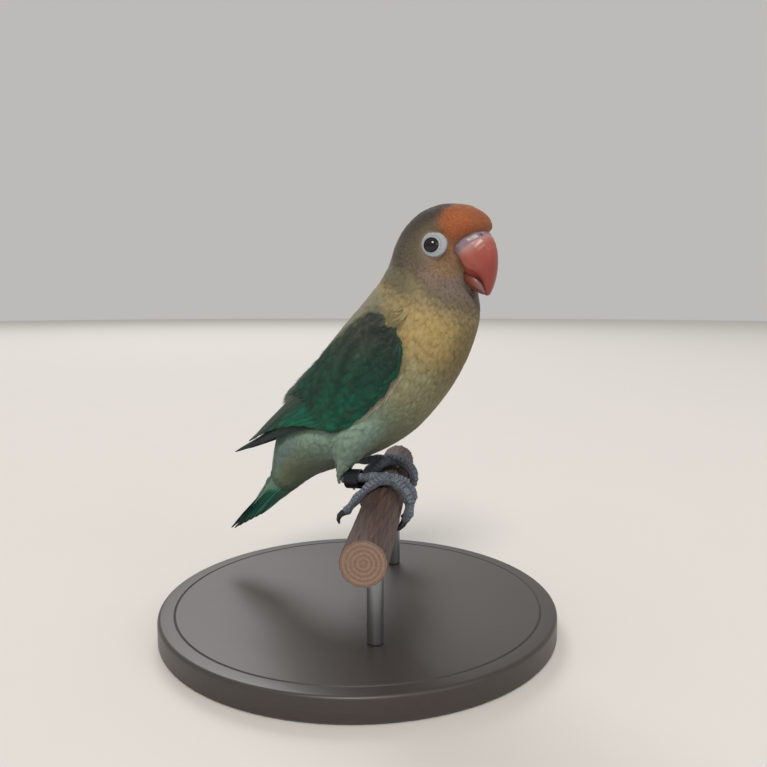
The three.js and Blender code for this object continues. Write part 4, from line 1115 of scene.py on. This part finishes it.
def wing_tufts(side, name, count=2650):
    """Small soft coverts over the shoulder, and the mantle feathers that hang over the wing's upper edge."""
    s, q = 0.53 * chance.random(count) ** 1.25 - 0.04, chance.random(count)
    kind, where, over = chance.random((3, count))
    back, front, bend = kind < 0.17, (kind >= 0.17) & (kind < 0.28), kind > 0.955
    s = np.select((back, front, bend), (0.6 * where - 0.02, 0.42 * where - 0.03, -0.085 + 0.03 * over), s)
    q = q * lerp(1.1, 1.0, smoothstep(s, 0.0, 0.1))
    s = s + 0.02 * smoothstep(s, 0.04, -0.04) * np.abs(2 * q - 1) ** 2
    q = np.select((back, front, bend), (-0.1 + 0.14 * over, 0.97 + 0.07 * over, 1.2 * where - 0.12), q)
    length = lerp(2.8, 6.2, smoothstep(s, 0, 0.4)) * chance.normal(1, 0.12, count)
    low = through_rows(((3.6,), (5.0,), (5.6,), (5.6,), (5.3,), (4.9,), (4.3,), (3.7,)), (s + 0.03) * 14)[:, 0]
    rim = rim_height(s, q)
    low = np.maximum(low - 1.0 * smoothstep(np.abs(q - 0.5), 0.4, 0.54), (rim + 0.3) * smoothstep(s, 0.05, -0.01))
    low = np.select((back, front, bend),
                    (lerp(4.0, 1.9, smoothstep(s, 0.05, 0.5)), lerp(4.2, 2.4, smoothstep(s, 0, 0.3)),
                     5.1 - 1.3 * np.abs(2 * q - 1) ** 3), low)
    length = np.where(bend, 3.3 * chance.normal(1, 0.18, count), length)
    roots = on_wing(s, q, np.where(bend, rim - 0.3, low - 0.5))
    tips = on_wing(s + length / WING_LENGTH, q + chance.normal(0, 0.03, count), low + 0.1)
    tips = roots + unit(tips - roots) * length[:, None]
    tint = stain(np.tile(colour("#47554d"), (count, 1)), "#125643", smoothstep(s + 0.12 * q, 0.12, 0.34) * 0.9)
    tint = stain(tint, "#146a50", smoothstep(q, 0.25, 0.7) * smoothstep(s, 0.22, 0.45) * 0.8)
    tint = stain(tint, "#5c5f54", smoothstep(q, 0.8, 0.1) * smoothstep(s, 0.46, 0.1) * 0.8)
    streak = 0.5 + 0.5 * np.sin(q * 34 + 5 * np.sin(s * 9) + 3 * np.sin(q * 7))
    tint = stain(tint, "#1b2825", smoothstep(streak, 0.5, 0.1) * 0.6)
    tint = stain(tint, "#35443d", chance.random(count) ** 3 * 0.9)
    mantle = stain(np.tile(colour("#7d7c6a"), (count, 1)), "#5a645a", smoothstep(s, 0.1, 0.5))
    tint = np.where(back[:, None], mantle, tint)
    tint = np.where(front[:, None], stain(markings(roots), "#c4bea9", smoothstep(s, 0.12, 0.26)), tint)
    tint = np.where(bend[:, None], stain(markings(roots), "#8d8b72", 0.35), tint)
    flip = np.array((1, -side, 1))
    normals = wing_normal(s, np.clip(q, 0, 1)) * flip
    spots = np.stack((0.02 + 0.3 * q, 0.1 + s), -1)
    coat_piece(f"coverts_{name}", BODY_TUFTS, roots * flip, normals, tips * flip, normals, length * 0.27,
               np.full(count, 0.25), tint, spots)


def make_wing(side, name):
    all_points, all_tints, all_spots = [], [], []
    for kind, *tier in WING_TIERS:
        points, s, q = wing_tier(*tier)
        all_points.append(points)
        all_tints.append(wing_tint(kind, s, q))
        all_spots.append(np.stack((s[:, 0], q[:, 0]), -1) * 0.9 + 0.03)
    points, tints, spots = (np.concatenate(part) for part in (all_points, all_tints, all_spots))
    mesh = vane_mesh(points, tints, spots, side)
    wing = mesh_object(f"feathers_{name}", mesh, VANE)
    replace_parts(wing, name)
    wing_tufts(side, name)


make_wing(-1, "wing_right")
make_wing(1, "wing_left")


# Tail: six pairs of feathers, the middle pair longest and on top.
def make_tail():
    t = np.linspace(0, 1, STEPS) ** 0.9
    flat = np.ones((STEPS, len(ACROSS)))
    spines, lefts, rights, tints = [], [], [], []
    for i in range(6):
        for side in (-1, 1):
            half = feather_outline(t, 1.6) * (3.4 if i == 0 else 3.0)
            length = TAIL_LENGTH * (1 - 0.085 * i)
            level = 2.2 - 0.8 * (i + (1 if i or side > 0 else 0))
            across = np.full(STEPS, side * 0.7) if i == 0 else side * (0.3 + 0.85 * half + 0.4 * i * (1 - 0.5 * t))
            far = -3.0 + (length + 3.0) * t
            spine = TAIL_ROOT + TAIL_ALONG * far[:, None] + TAIL_UP * (level * (1 - 0.15 * t))[:, None]
            spine[:, 1] += across
            spines.append(spine)
            lefts.append(half * (1.0 if side < 0 else 0.85))
            rights.append(half * (1.0 if side > 0 else 0.85))
            outer = (ACROSS * side > 0)[None] * np.abs(ACROSS)[None] * flat
            # The pairs' tints, from the middle out, are partly the feathers' own teal and partly painted light: the
            # outer pairs are brightened against the shade on their undersides, and the middle pair, seen from above, is
            # kept darker.
            base = ("#44746c", "#3c766e", "#3d8478", "#459a8b", "#4da897", "#55ae9a")[i]
            tint = np.tile(colour(base), (STEPS, len(ACROSS), 1))
            tint = stain(tint, "#7d8c84", smoothstep(outer, 0.7, 1.0) * (0.8 if i == 1 else 0.0))
            tint = stain(tint, "#142826", smoothstep(outer, 0.4, -0.6) * (0.35 if 0 < i < 4 else 0.0))
            tint = stain(tint, "#1f3032", smoothstep(t, 0.84, 1.0)[:, None] * flat * 0.7)
            tint = stain(tint, "#1d3434", smoothstep(np.abs(ACROSS), 0.08, 0.0)[None] * flat * 0.5)
            tints.append(tint * chance.normal(1, 0.06))
    spines = np.array(spines)
    points = vane_points(spines, np.broadcast_to(TAIL_UP, spines.shape), np.array(lefts), np.array(rights),
                         0.35, 0.2, 0.0)
    spots = np.stack((np.linspace(0.05, 0.95, 12), np.full(12, 0.5)), -1)
    mesh = vane_mesh(points, np.array(tints), spots, -1)
    tail = mesh_object("feathers_tail", mesh, VANE)
    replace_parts(tail, "tail")
    make_tail_coverts()


# Rings of tail coverts: how far back, how long, and how far out to the sides and above.
TAIL_RINGS = [(2.2, 12.0, 4.4, 2.5), (0.2, 11.0, 4.9, 3.4), (-2.0, 10.0, 5.4, 4.3), (-4.0, 9.0, 5.8, 5.0)]


def make_tail_coverts():
    """Soft pointed feathers in rings round the tail's root, over its top and its underside."""
    roots, tips, ups, tints, spots = [], [], [], [], []
    for tier, (back, length, wide, deep) in enumerate(TAIL_RINGS):
        for turn in np.linspace(0, 2 * math.pi, 34, endpoint=False) + 0.09 * tier:
            turn += chance.normal(0, 0.04)
            reach = length * chance.normal(1, 0.08)
            aside, above = math.cos(turn), math.sin(turn)
            out = np.array((0, aside, 0)) + TAIL_UP * above
            ring = np.array((0, aside * wide, 0)) + TAIL_UP * (above * deep)
            end = np.array((0, aside * wide * 0.72, 0)) + TAIL_UP * (0.1 + above * max(deep - 1.5, 1.5))
            roots.append(TAIL_ROOT + TAIL_ALONG * back + ring)
            tips.append(TAIL_ROOT + TAIL_ALONG * (back + reach) + end)
            ups.append(out)
            tint = stain(colour("#65836f"), "#3b8a70", smoothstep(above, 0.3, -0.5) * (1 - 0.25 * tier))
            tint = stain(tint, "#456a5b", smoothstep(above, 0.2, 0.8) * 0.8)
            tints.append(tint)
            spots.append((turn / (2 * math.pi) * 0.95 + 0.02, 0.02 + 0.02 * tier))
    count = len(roots)
    roots, tips, ups, tints, spots = (np.array(part) for part in (roots, tips, ups, tints, spots))
    coat_piece("coverts_tail", BODY_TUFTS, roots, ups, tips, ups, np.full(count, 1.5), np.full(count, 0.3), tints,
               spots)


make_tail()
make_bill("bill_upper")
make_bill("bill_lower")


# Eyes: a wet ball each, in a ring of bare wrinkled skin.
def turned_form(profile, segments):
    """A closed form from a closed profile of radius and height, spun about Z."""
    form = bmesh.new()
    verts = [form.verts.new((radius, 0, height)) for radius, height in profile]
    edges = [form.edges.new((a, b)) for a, b in zip(verts, verts[1:] + verts[:1])]
    bmesh.ops.spin(form, geom=verts + edges, cent=(0, 0, 0), axis=(0, 0, 1), angle=2 * math.pi, steps=segments,
                   use_merge=True)
    bmesh.ops.remove_doubles(form, verts=form.verts, dist=1e-4)
    bmesh.ops.recalc_face_normals(form, faces=form.faces)
    return form


RING_PROFILE = [(2.3, -1.3), (2.26, 0.3), (2.36, 0.52), (2.52, 0.56), (2.68, 0.46), (2.82, 0.4), (2.98, 0.47),
                (3.14, 0.4), (3.3, 0.34), (3.46, 0.38), (3.62, 0.26), (3.78, 0.24), (3.94, 0.08), (4.1, -0.25),
                (3.95, -1.3)]


def make_eye(side, name):
    ball = bmesh.new()
    bmesh.ops.create_uvsphere(ball, u_segments=48, v_segments=32, radius=EYE_RADIUS)
    flat = shape_points(ball)
    radius = np.hypot(flat[:, 0], flat[:, 1])
    mesh = shape_mesh(ball)
    set_points(mesh, bird_to_frame(eye_to_bird(flat + (0, 0, EYE_DEPTH), side)))
    if side > 0:
        mesh.flip_normals()
    tint = np.tile(colour("#060608"), (len(flat), 1))
    tint = stain(tint, "#14100f", smoothstep(radius, 1.35, 1.6) * smoothstep(radius, 2.5, 2.2))
    set_tint(mesh, tint)
    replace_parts(mesh_object(f"eye_ball_{name}", mesh, EYE_WET), f"eye_{name}")

    form = turned_form(RING_PROFILE, 72)
    flat = shape_points(form)
    radius, angle = np.hypot(flat[:, 0], flat[:, 1]), np.arctan2(flat[:, 1], flat[:, 0])
    share = np.clip((radius - RING_INNER) / (RING_OUTER - RING_INNER), 0, 1)
    top = flat[:, 2] > -0.2
    wrinkle = 0.05 * np.sin(angle * 23 + 2 * np.sin(angle * 5)) * share * (1 - share) * 4
    place = flat + np.stack((RING_SHIFT[0] * share, RING_SHIFT[1] * share, wrinkle * top), -1)
    mesh = shape_mesh(form)
    set_points(mesh, bird_to_frame(eye_to_bird(place, side)))
    if side > 0:
        mesh.flip_normals()
    tint = np.tile(colour("#9ba1a6"), (len(flat), 1))
    tint = stain(tint, "#6d7076", smoothstep(np.abs(radius - 2.85), 0.16, 0.05) * 0.6)
    tint = stain(tint, "#3f4146", smoothstep(radius, 2.4, 2.28))
    tint = stain(tint, "#85888c", smoothstep(radius, 3.6, 4.1))
    set_tint(mesh, tint)
    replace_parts(mesh_object(f"ring_skin_{name}", mesh, RING_SKIN), f"eye_ring_{name}")


make_eye(-1, "right")
make_eye(1, "left")

# Feet: the toes' paths, in rows of across, along and up from the perch's top.
TOES = [
    [(0.5, 1.5, 2.0), (4.0, 3.6, 1.7), (7.2, 5.2, -1.0), (8.6, 6.0, -4.4), (8.2, 6.4, -7.6), (7.2, 6.5, -9.4)],
    [(0.6, 0.2, 2.0), (4.2, -0.8, 1.9), (7.6, -1.4, -0.7), (9.0, -1.6, -3.8), (8.6, -1.6, -6.4)],
    [(-0.5, 1.2, 2.0), (-3.2, 3.6, 1.2), (-6.4, 5.6, -1.2), (-9.0, 6.6, -4.0), (-11.2, 7.2, -6.6)],
    [(-0.8, -0.4, 2.0), (-3.4, -4.2, 0.9), (-6.2, -6.6, -1.8), (-7.8, -7.2, -4.9), (-8.0, -7.4, -7.4)],
]
TARSUS = [(-14.4, 0.4, 0.9), (-11.5, 0.4, 1.2), (-6.5, 0.3, 1.7), (-2.0, 0.1, 2.1), (0.6, 0.4, 2.1)]
FEET = {"right": (-1, 0.4, -15.0), "left": (1, -0.4, 13.5)}
LEG_LEAN = -math.tan(-BODY_TURN)
SCUTE = 1.25  # length of a scale along a toe


def foot_paths(name):
    side, across, along = FEET[name]
    paths = []
    for rows, lean in [(rows, 0) for rows in TOES] + [(TARSUS, LEG_LEAN)]:
        rows = np.array(rows)
        dense = through_rows(rows, np.linspace(0, len(rows) - 1, 60))
        ahead = along + side * dense[:, 1] + lean * np.minimum(dense[:, 0], 0)
        paths.append(perch_to_bird(np.stack((dense[:, 0] + across, ahead, dense[:, 2]), -1)))
    return paths


def make_foot(name):
    whole = node_shape([f"foot_{name}"], 0.12)
    for path, radius in zip(foot_paths(name), (1.45, 1.3, 1.45, 1.3)):
        end = bmesh.new()
        bmesh.ops.create_icosphere(end, subdivisions=3, radius=radius * MM)
        bmesh.ops.translate(end, verts=end.verts, vec=bird_to_frame(path[-1]))
        whole.from_mesh(shape_mesh(end))
    mesh = remeshed(shape_mesh(whole), 0.22, 9)
    places = frame_to_bird(points_of(mesh))
    normals = turned(normals_of(mesh), -BODY_TURN)
    best, run, outer = np.full(len(places), 1e9), np.zeros(len(places)), np.zeros(len(places))
    core = perch_to_bird(np.array((0.0, 0.0, -PERCH_RADIUS)))
    along_perch = perch_to_bird(np.array((0.0, 1.0, 0.0)))
    for path in foot_paths(name):
        apart = np.linalg.norm(places[:, None] - path[None], axis=-1)
        i = apart.argmin(1)
        length = np.concatenate(((0,), np.cumsum(np.linalg.norm(np.diff(path, axis=0), axis=1))))
        nearer = apart.min(1) < best
        best = np.where(nearer, apart.min(1), best)
        run = np.where(nearer, length[i], run)
        away = path[i] - core
        away = unit(away - along_perch * (away @ along_perch)[:, None])
        outer = np.where(nearer, (normals * away).sum(1), outer)
    step = (run / SCUTE) % 1.0
    scute = np.where(step < 0.8, step / 0.8, (1 - step) / 0.2) - 0.5
    top = smoothstep(outer, 0.1, 0.6)
    joints = np.cos(run * 2 * math.pi / 5.4)
    move = top * scute * 0.16 + joints * 0.16
    set_points(mesh, bird_to_frame(places + normals * move[:, None]))
    tint = np.tile(colour("#66707c"), (len(places), 1))
    tint = stain(tint, "#3f4651", top * (step > 0.8) * 0.9)
    tint = stain(tint, "#7c858f", top * smoothstep(step, 0.3, 0.75) * (step < 0.8) * 0.6)
    tint = stain(tint, "#5a5961", (1 - top) * 0.5)
    set_tint(mesh, tint)
    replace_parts(mesh_object(f"scaled_foot_{name}", mesh, FOOT_SCALE), f"foot_{name}")
    claws = [f"claw_{name}_{place}" for place in ("front_outer", "front_inner", "back_outer", "back_inner")]
    mesh = remeshed(shape_mesh(node_shape(claws, 0.28)), 0.12, 3)
    set_tint(mesh, np.tile(colour("#1c1b1f"), (len(mesh.vertices), 1)))
    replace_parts(mesh_object(f"claws_{name}", mesh, CLAW_HORN), *claws)


make_foot("right")
make_foot("left")


# Leg band: a plain open ring.
BAND_PROFILE = [(2.6, -2.4), (2.66, -2.5), (3.12, -2.5), (3.2, -2.4), (3.2, 2.4), (3.12, 2.5), (2.66, 2.5), (2.6, 2.4)]


def make_band():
    centre = perch_to_bird(np.array((-9.9, FEET["right"][2] - 0.4 - 10.3 * LEG_LEAN, 1.1)))
    way = unit(perch_to_bird(np.array((5, 5 * LEG_LEAN, 0.4))))
    form = turned_form(BAND_PROFILE, 64)
    turn = np.array(Vector((0, 0, 1)).rotation_difference(Vector(way)).to_matrix())
    flat = shape_points(form)
    mesh = shape_mesh(form)
    set_points(mesh, bird_to_frame(flat @ turn.T + centre))
    set_tint(mesh, np.tile(colour("#26282d"), (len(flat), 1)))
    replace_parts(mesh_object("band_ring", mesh, BAND_METAL, 32), "leg_band")


make_band()


# Perch: a ribbed stick with small knots and sawn ends.
def perch_place(points):
    return (np.asarray(points) + BIRD_AT) * MM


def make_perch():
    stick = bmesh.new()
    length = PERCH_NEAR + PERCH_FAR
    bmesh.ops.create_cone(stick, cap_ends=True, segments=144, radius1=PERCH_RADIUS, radius2=PERCH_RADIUS, depth=length)
    caps = [face for face in stick.faces if len(face.verts) > 4]
    for cap in caps:
        for _ in range(16):
            bmesh.ops.inset_region(stick, faces=[cap], thickness=0.36)
    long_edges = [edge for edge in stick.edges if abs(edge.verts[0].co.z - edge.verts[1].co.z) > 1]
    bmesh.ops.subdivide_edges(stick, edges=long_edges, cuts=150, use_grid_fill=True)
    flat = shape_points(stick)
    angle, along = np.arctan2(flat[:, 1], flat[:, 0]), flat[:, 2]
    radius = np.hypot(flat[:, 0], flat[:, 1])
    ribs = np.zeros(len(flat))
    for waves, drift, fade in ((9, 0.05, 0.11), (14, 0.09, 0.17), (19, 0.04, 0.23), (31, 0.07, 0.31), (43, 0.1, 0.41)):
        start, other = chance.random(2) * 7
        wave = np.sin(waves * angle + start + 3 * np.sin(along * drift + other))
        ribs += wave * np.sin(along * fade + waves + 2 * np.sin(angle + start))
    ribs = np.clip(0.5 + 0.28 * ribs, 0, 1)
    depth = 0.3 * (1 - ribs)
    knot_tone = np.zeros(len(flat))
    for at, where, size in ((-30, 2.2, 3.2), (10, -1.2, 2.6), (-52, -2.4, 2.8), (38, 1.0, 3.0), (-12, 3.0, 2.4)):
        apart = np.hypot(along - at, ((angle - where + np.pi) % (2 * np.pi) - np.pi) * PERCH_RADIUS)
        depth = depth + 0.25 * smoothstep(np.abs(apart - size), 0.8, 0.1) - 0.1 * smoothstep(apart, size, 0)
        knot_tone = np.maximum(knot_tone, smoothstep(apart, size + 0.8, size - 0.6))
    outer = smoothstep(radius, PERCH_RADIUS - 0.6, PERCH_RADIUS)
    new = np.maximum(radius - np.maximum(depth, 0.0) * outer, 0.001) / np.maximum(radius, 0.001)
    flat[:, 0] *= new
    flat[:, 1] *= new
    place = np.stack((flat[:, 0], flat[:, 2] + (PERCH_FAR - PERCH_NEAR) / 2, flat[:, 1] - PERCH_RADIUS), -1)
    mesh = shape_mesh(stick)
    set_points(mesh, perch_place(place))
    mesh.flip_normals()
    tint = np.tile(colour("#46332b"), (len(flat), 1))
    tint = stain(tint, "#352622", smoothstep(ribs, 0.4, 0.1) * outer * 0.8)
    tint = stain(tint, "#553f38", smoothstep(ribs, 0.65, 1.0) * outer * 0.6)
    tint = stain(tint, "#3a2b27", knot_tone * 0.6)
    ends = np.abs(along) > length / 2 - 0.01
    rings = 0.5 + 0.5 * np.sin(radius * 5.2)
    tint = stain(tint, "#8a7060", ends * (radius < PERCH_RADIUS - 0.3) * (0.5 + 0.5 * rings))
    set_tint(mesh, tint)
    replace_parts(mesh_object("perch_stick", mesh, PERCH_WOOD, 32), "perch")


make_perch()


# Stand: a round base with a fine groove, and two rods that end just under the perch.
RIM_ROUND, GROOVE_DEPTH, ROD_GAP = 1.2, 0.35, 0.15


def make_stand():
    edge, top = BASE_RADIUS - RIM_ROUND, BASE_THICKNESS - RIM_ROUND
    rounding = [(edge + RIM_ROUND * math.sin(a), top + RIM_ROUND * math.cos(a)) for a in np.linspace(0, math.pi / 2, 7)]
    profile = [(0.001, 0), (BASE_RADIUS - 0.8, 0), (BASE_RADIUS, 0.8)] + rounding[::-1]
    profile += [(BASE_RADIUS - 5, BASE_THICKNESS), (BASE_RADIUS - 5.4, BASE_THICKNESS - GROOVE_DEPTH),
                (BASE_RADIUS - 5.8, BASE_THICKNESS), (0.001, BASE_THICKNESS)]
    form = turned_form(profile, 144)
    flat = shape_points(form)
    mesh = shape_mesh(form)
    set_points(mesh, flat * MM)
    set_tint(mesh, np.tile(colour("#37302d"), (len(flat), 1)))
    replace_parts(mesh_object("base_disc", mesh, BASE_WOOD, 32), "stand_base")
    for i, along in enumerate(ROD_PLACES):
        low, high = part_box(f"stand_rod_{i + 1}")
        rod = bmesh.new()
        height = high[2] - low[2]
        bmesh.ops.create_cone(rod, cap_ends=True, segments=48, radius1=ROD_RADIUS * MM, radius2=ROD_RADIUS * MM,
                              depth=height)
        bmesh.ops.translate(rod, verts=rod.verts,
                             vec=(BIRD_AT[0] * MM, (BIRD_AT[1] + along) * MM, low[2] + height / 2))
        for vert in rod.verts:
            if vert.co.z > low[2] + height / 2:
                drop = PERCH_RADIUS - math.sqrt(max(PERCH_RADIUS**2 - (vert.co.x / MM - BIRD_AT[0]) ** 2, 0))
                vert.co.z = (PERCH_TOP - 2 * PERCH_RADIUS - ROD_GAP + drop) * MM
        mesh = shape_mesh(rod)
        set_tint(mesh, np.tile(colour("#9a9c9f"), (len(mesh.vertices), 1)))
        piece = mesh_object(f"rod_{i + 1}", mesh, ROD_STEEL, 32)
        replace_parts(piece, f"stand_rod_{i + 1}")


make_stand()

# Floor, lights and camera.
floor_shape = bmesh.new()
bmesh.ops.create_circle(floor_shape, cap_ends=True, segments=96, radius=4.0)
floor_mesh = shape_mesh(floor_shape)
floor_material, floor_tree = new_material("pale_studio_paper")
floor_place = add(floor_tree, "ShaderNodeTexCoord").outputs["Object"]
mottle = add(floor_tree, "ShaderNodeTexNoise", {"Scale": 1 / (40 * MM), "Detail": 2.0}, {"Vector": floor_place})
scale = add(floor_tree, "ShaderNodeMapRange", {"To Min": 0.99, "To Max": 1.01}, {"Value": mottle.outputs[0]})
paper = add(floor_tree, "ShaderNodeVectorMath", {"operation": "SCALE", 0: tuple(colour("#d6d3cf"))},
            {"Scale": scale.outputs[0]})
surface(floor_tree, {"Roughness": 0.9, "Specular IOR Level": 0.1}, {"Base Color": paper.outputs[0]})
floor_mesh.materials.append(floor_material)
floor = bpy.data.objects.new("floor", floor_mesh)
bpy.context.collection.objects.link(floor)

world = bpy.data.worlds.new("studio")
world.use_nodes = True
world.node_tree.nodes["Background"].inputs["Color"].default_value = rgba("#dddbd8")
world.node_tree.nodes["Background"].inputs["Strength"].default_value = 0.7
bpy.context.scene.world = world
bpy.context.scene.view_settings.view_transform = "Standard"


def soft_light(name, place, target, size, power, code):
    lamp = bpy.data.lights.new(name, "AREA")
    lamp.shape, lamp.size, lamp.energy, lamp.color = "DISK", size, power, tuple(colour(code))
    thing = bpy.data.objects.new(name, lamp)
    thing.location = place
    thing.rotation_euler = (Vector(target) - Vector(place)).to_track_quat("-Z", "Y").to_euler()
    bpy.context.collection.objects.link(thing)


AIM = (0.01, 0.0, 0.09)
soft_light("key", (0.1, -2.3, 2.6), AIM, 1.2, 66.0, "#fff8f0")
soft_light("fill", (2.2, -1.4, 1.3), AIM, 1.4, 7.0, "#f2f6ff")
soft_light("back", (-0.8, 2.2, 2.2), AIM, 1.4, 34.0, "#ffffff")

CAMERA_AT = Vector((0.0307985, -0.2507199, 0.1091829))
swing, tilt = math.radians(5.1), math.radians(6.3)
camera_data = bpy.data.cameras.new("camera")
camera_data.sensor_width = 36.0
camera_data.lens = 36.0 * 769 / 767
camera_data.clip_start = 0.01
camera = bpy.data.objects.new("camera", camera_data)
camera.location = CAMERA_AT
way = Vector((-math.sin(swing) * math.cos(tilt), math.cos(swing) * math.cos(tilt), -math.sin(tilt)))
camera.rotation_euler = way.to_track_quat("-Z", "Y").to_euler()
bpy.context.collection.objects.link(camera)
bpy.context.scene.camera = camera
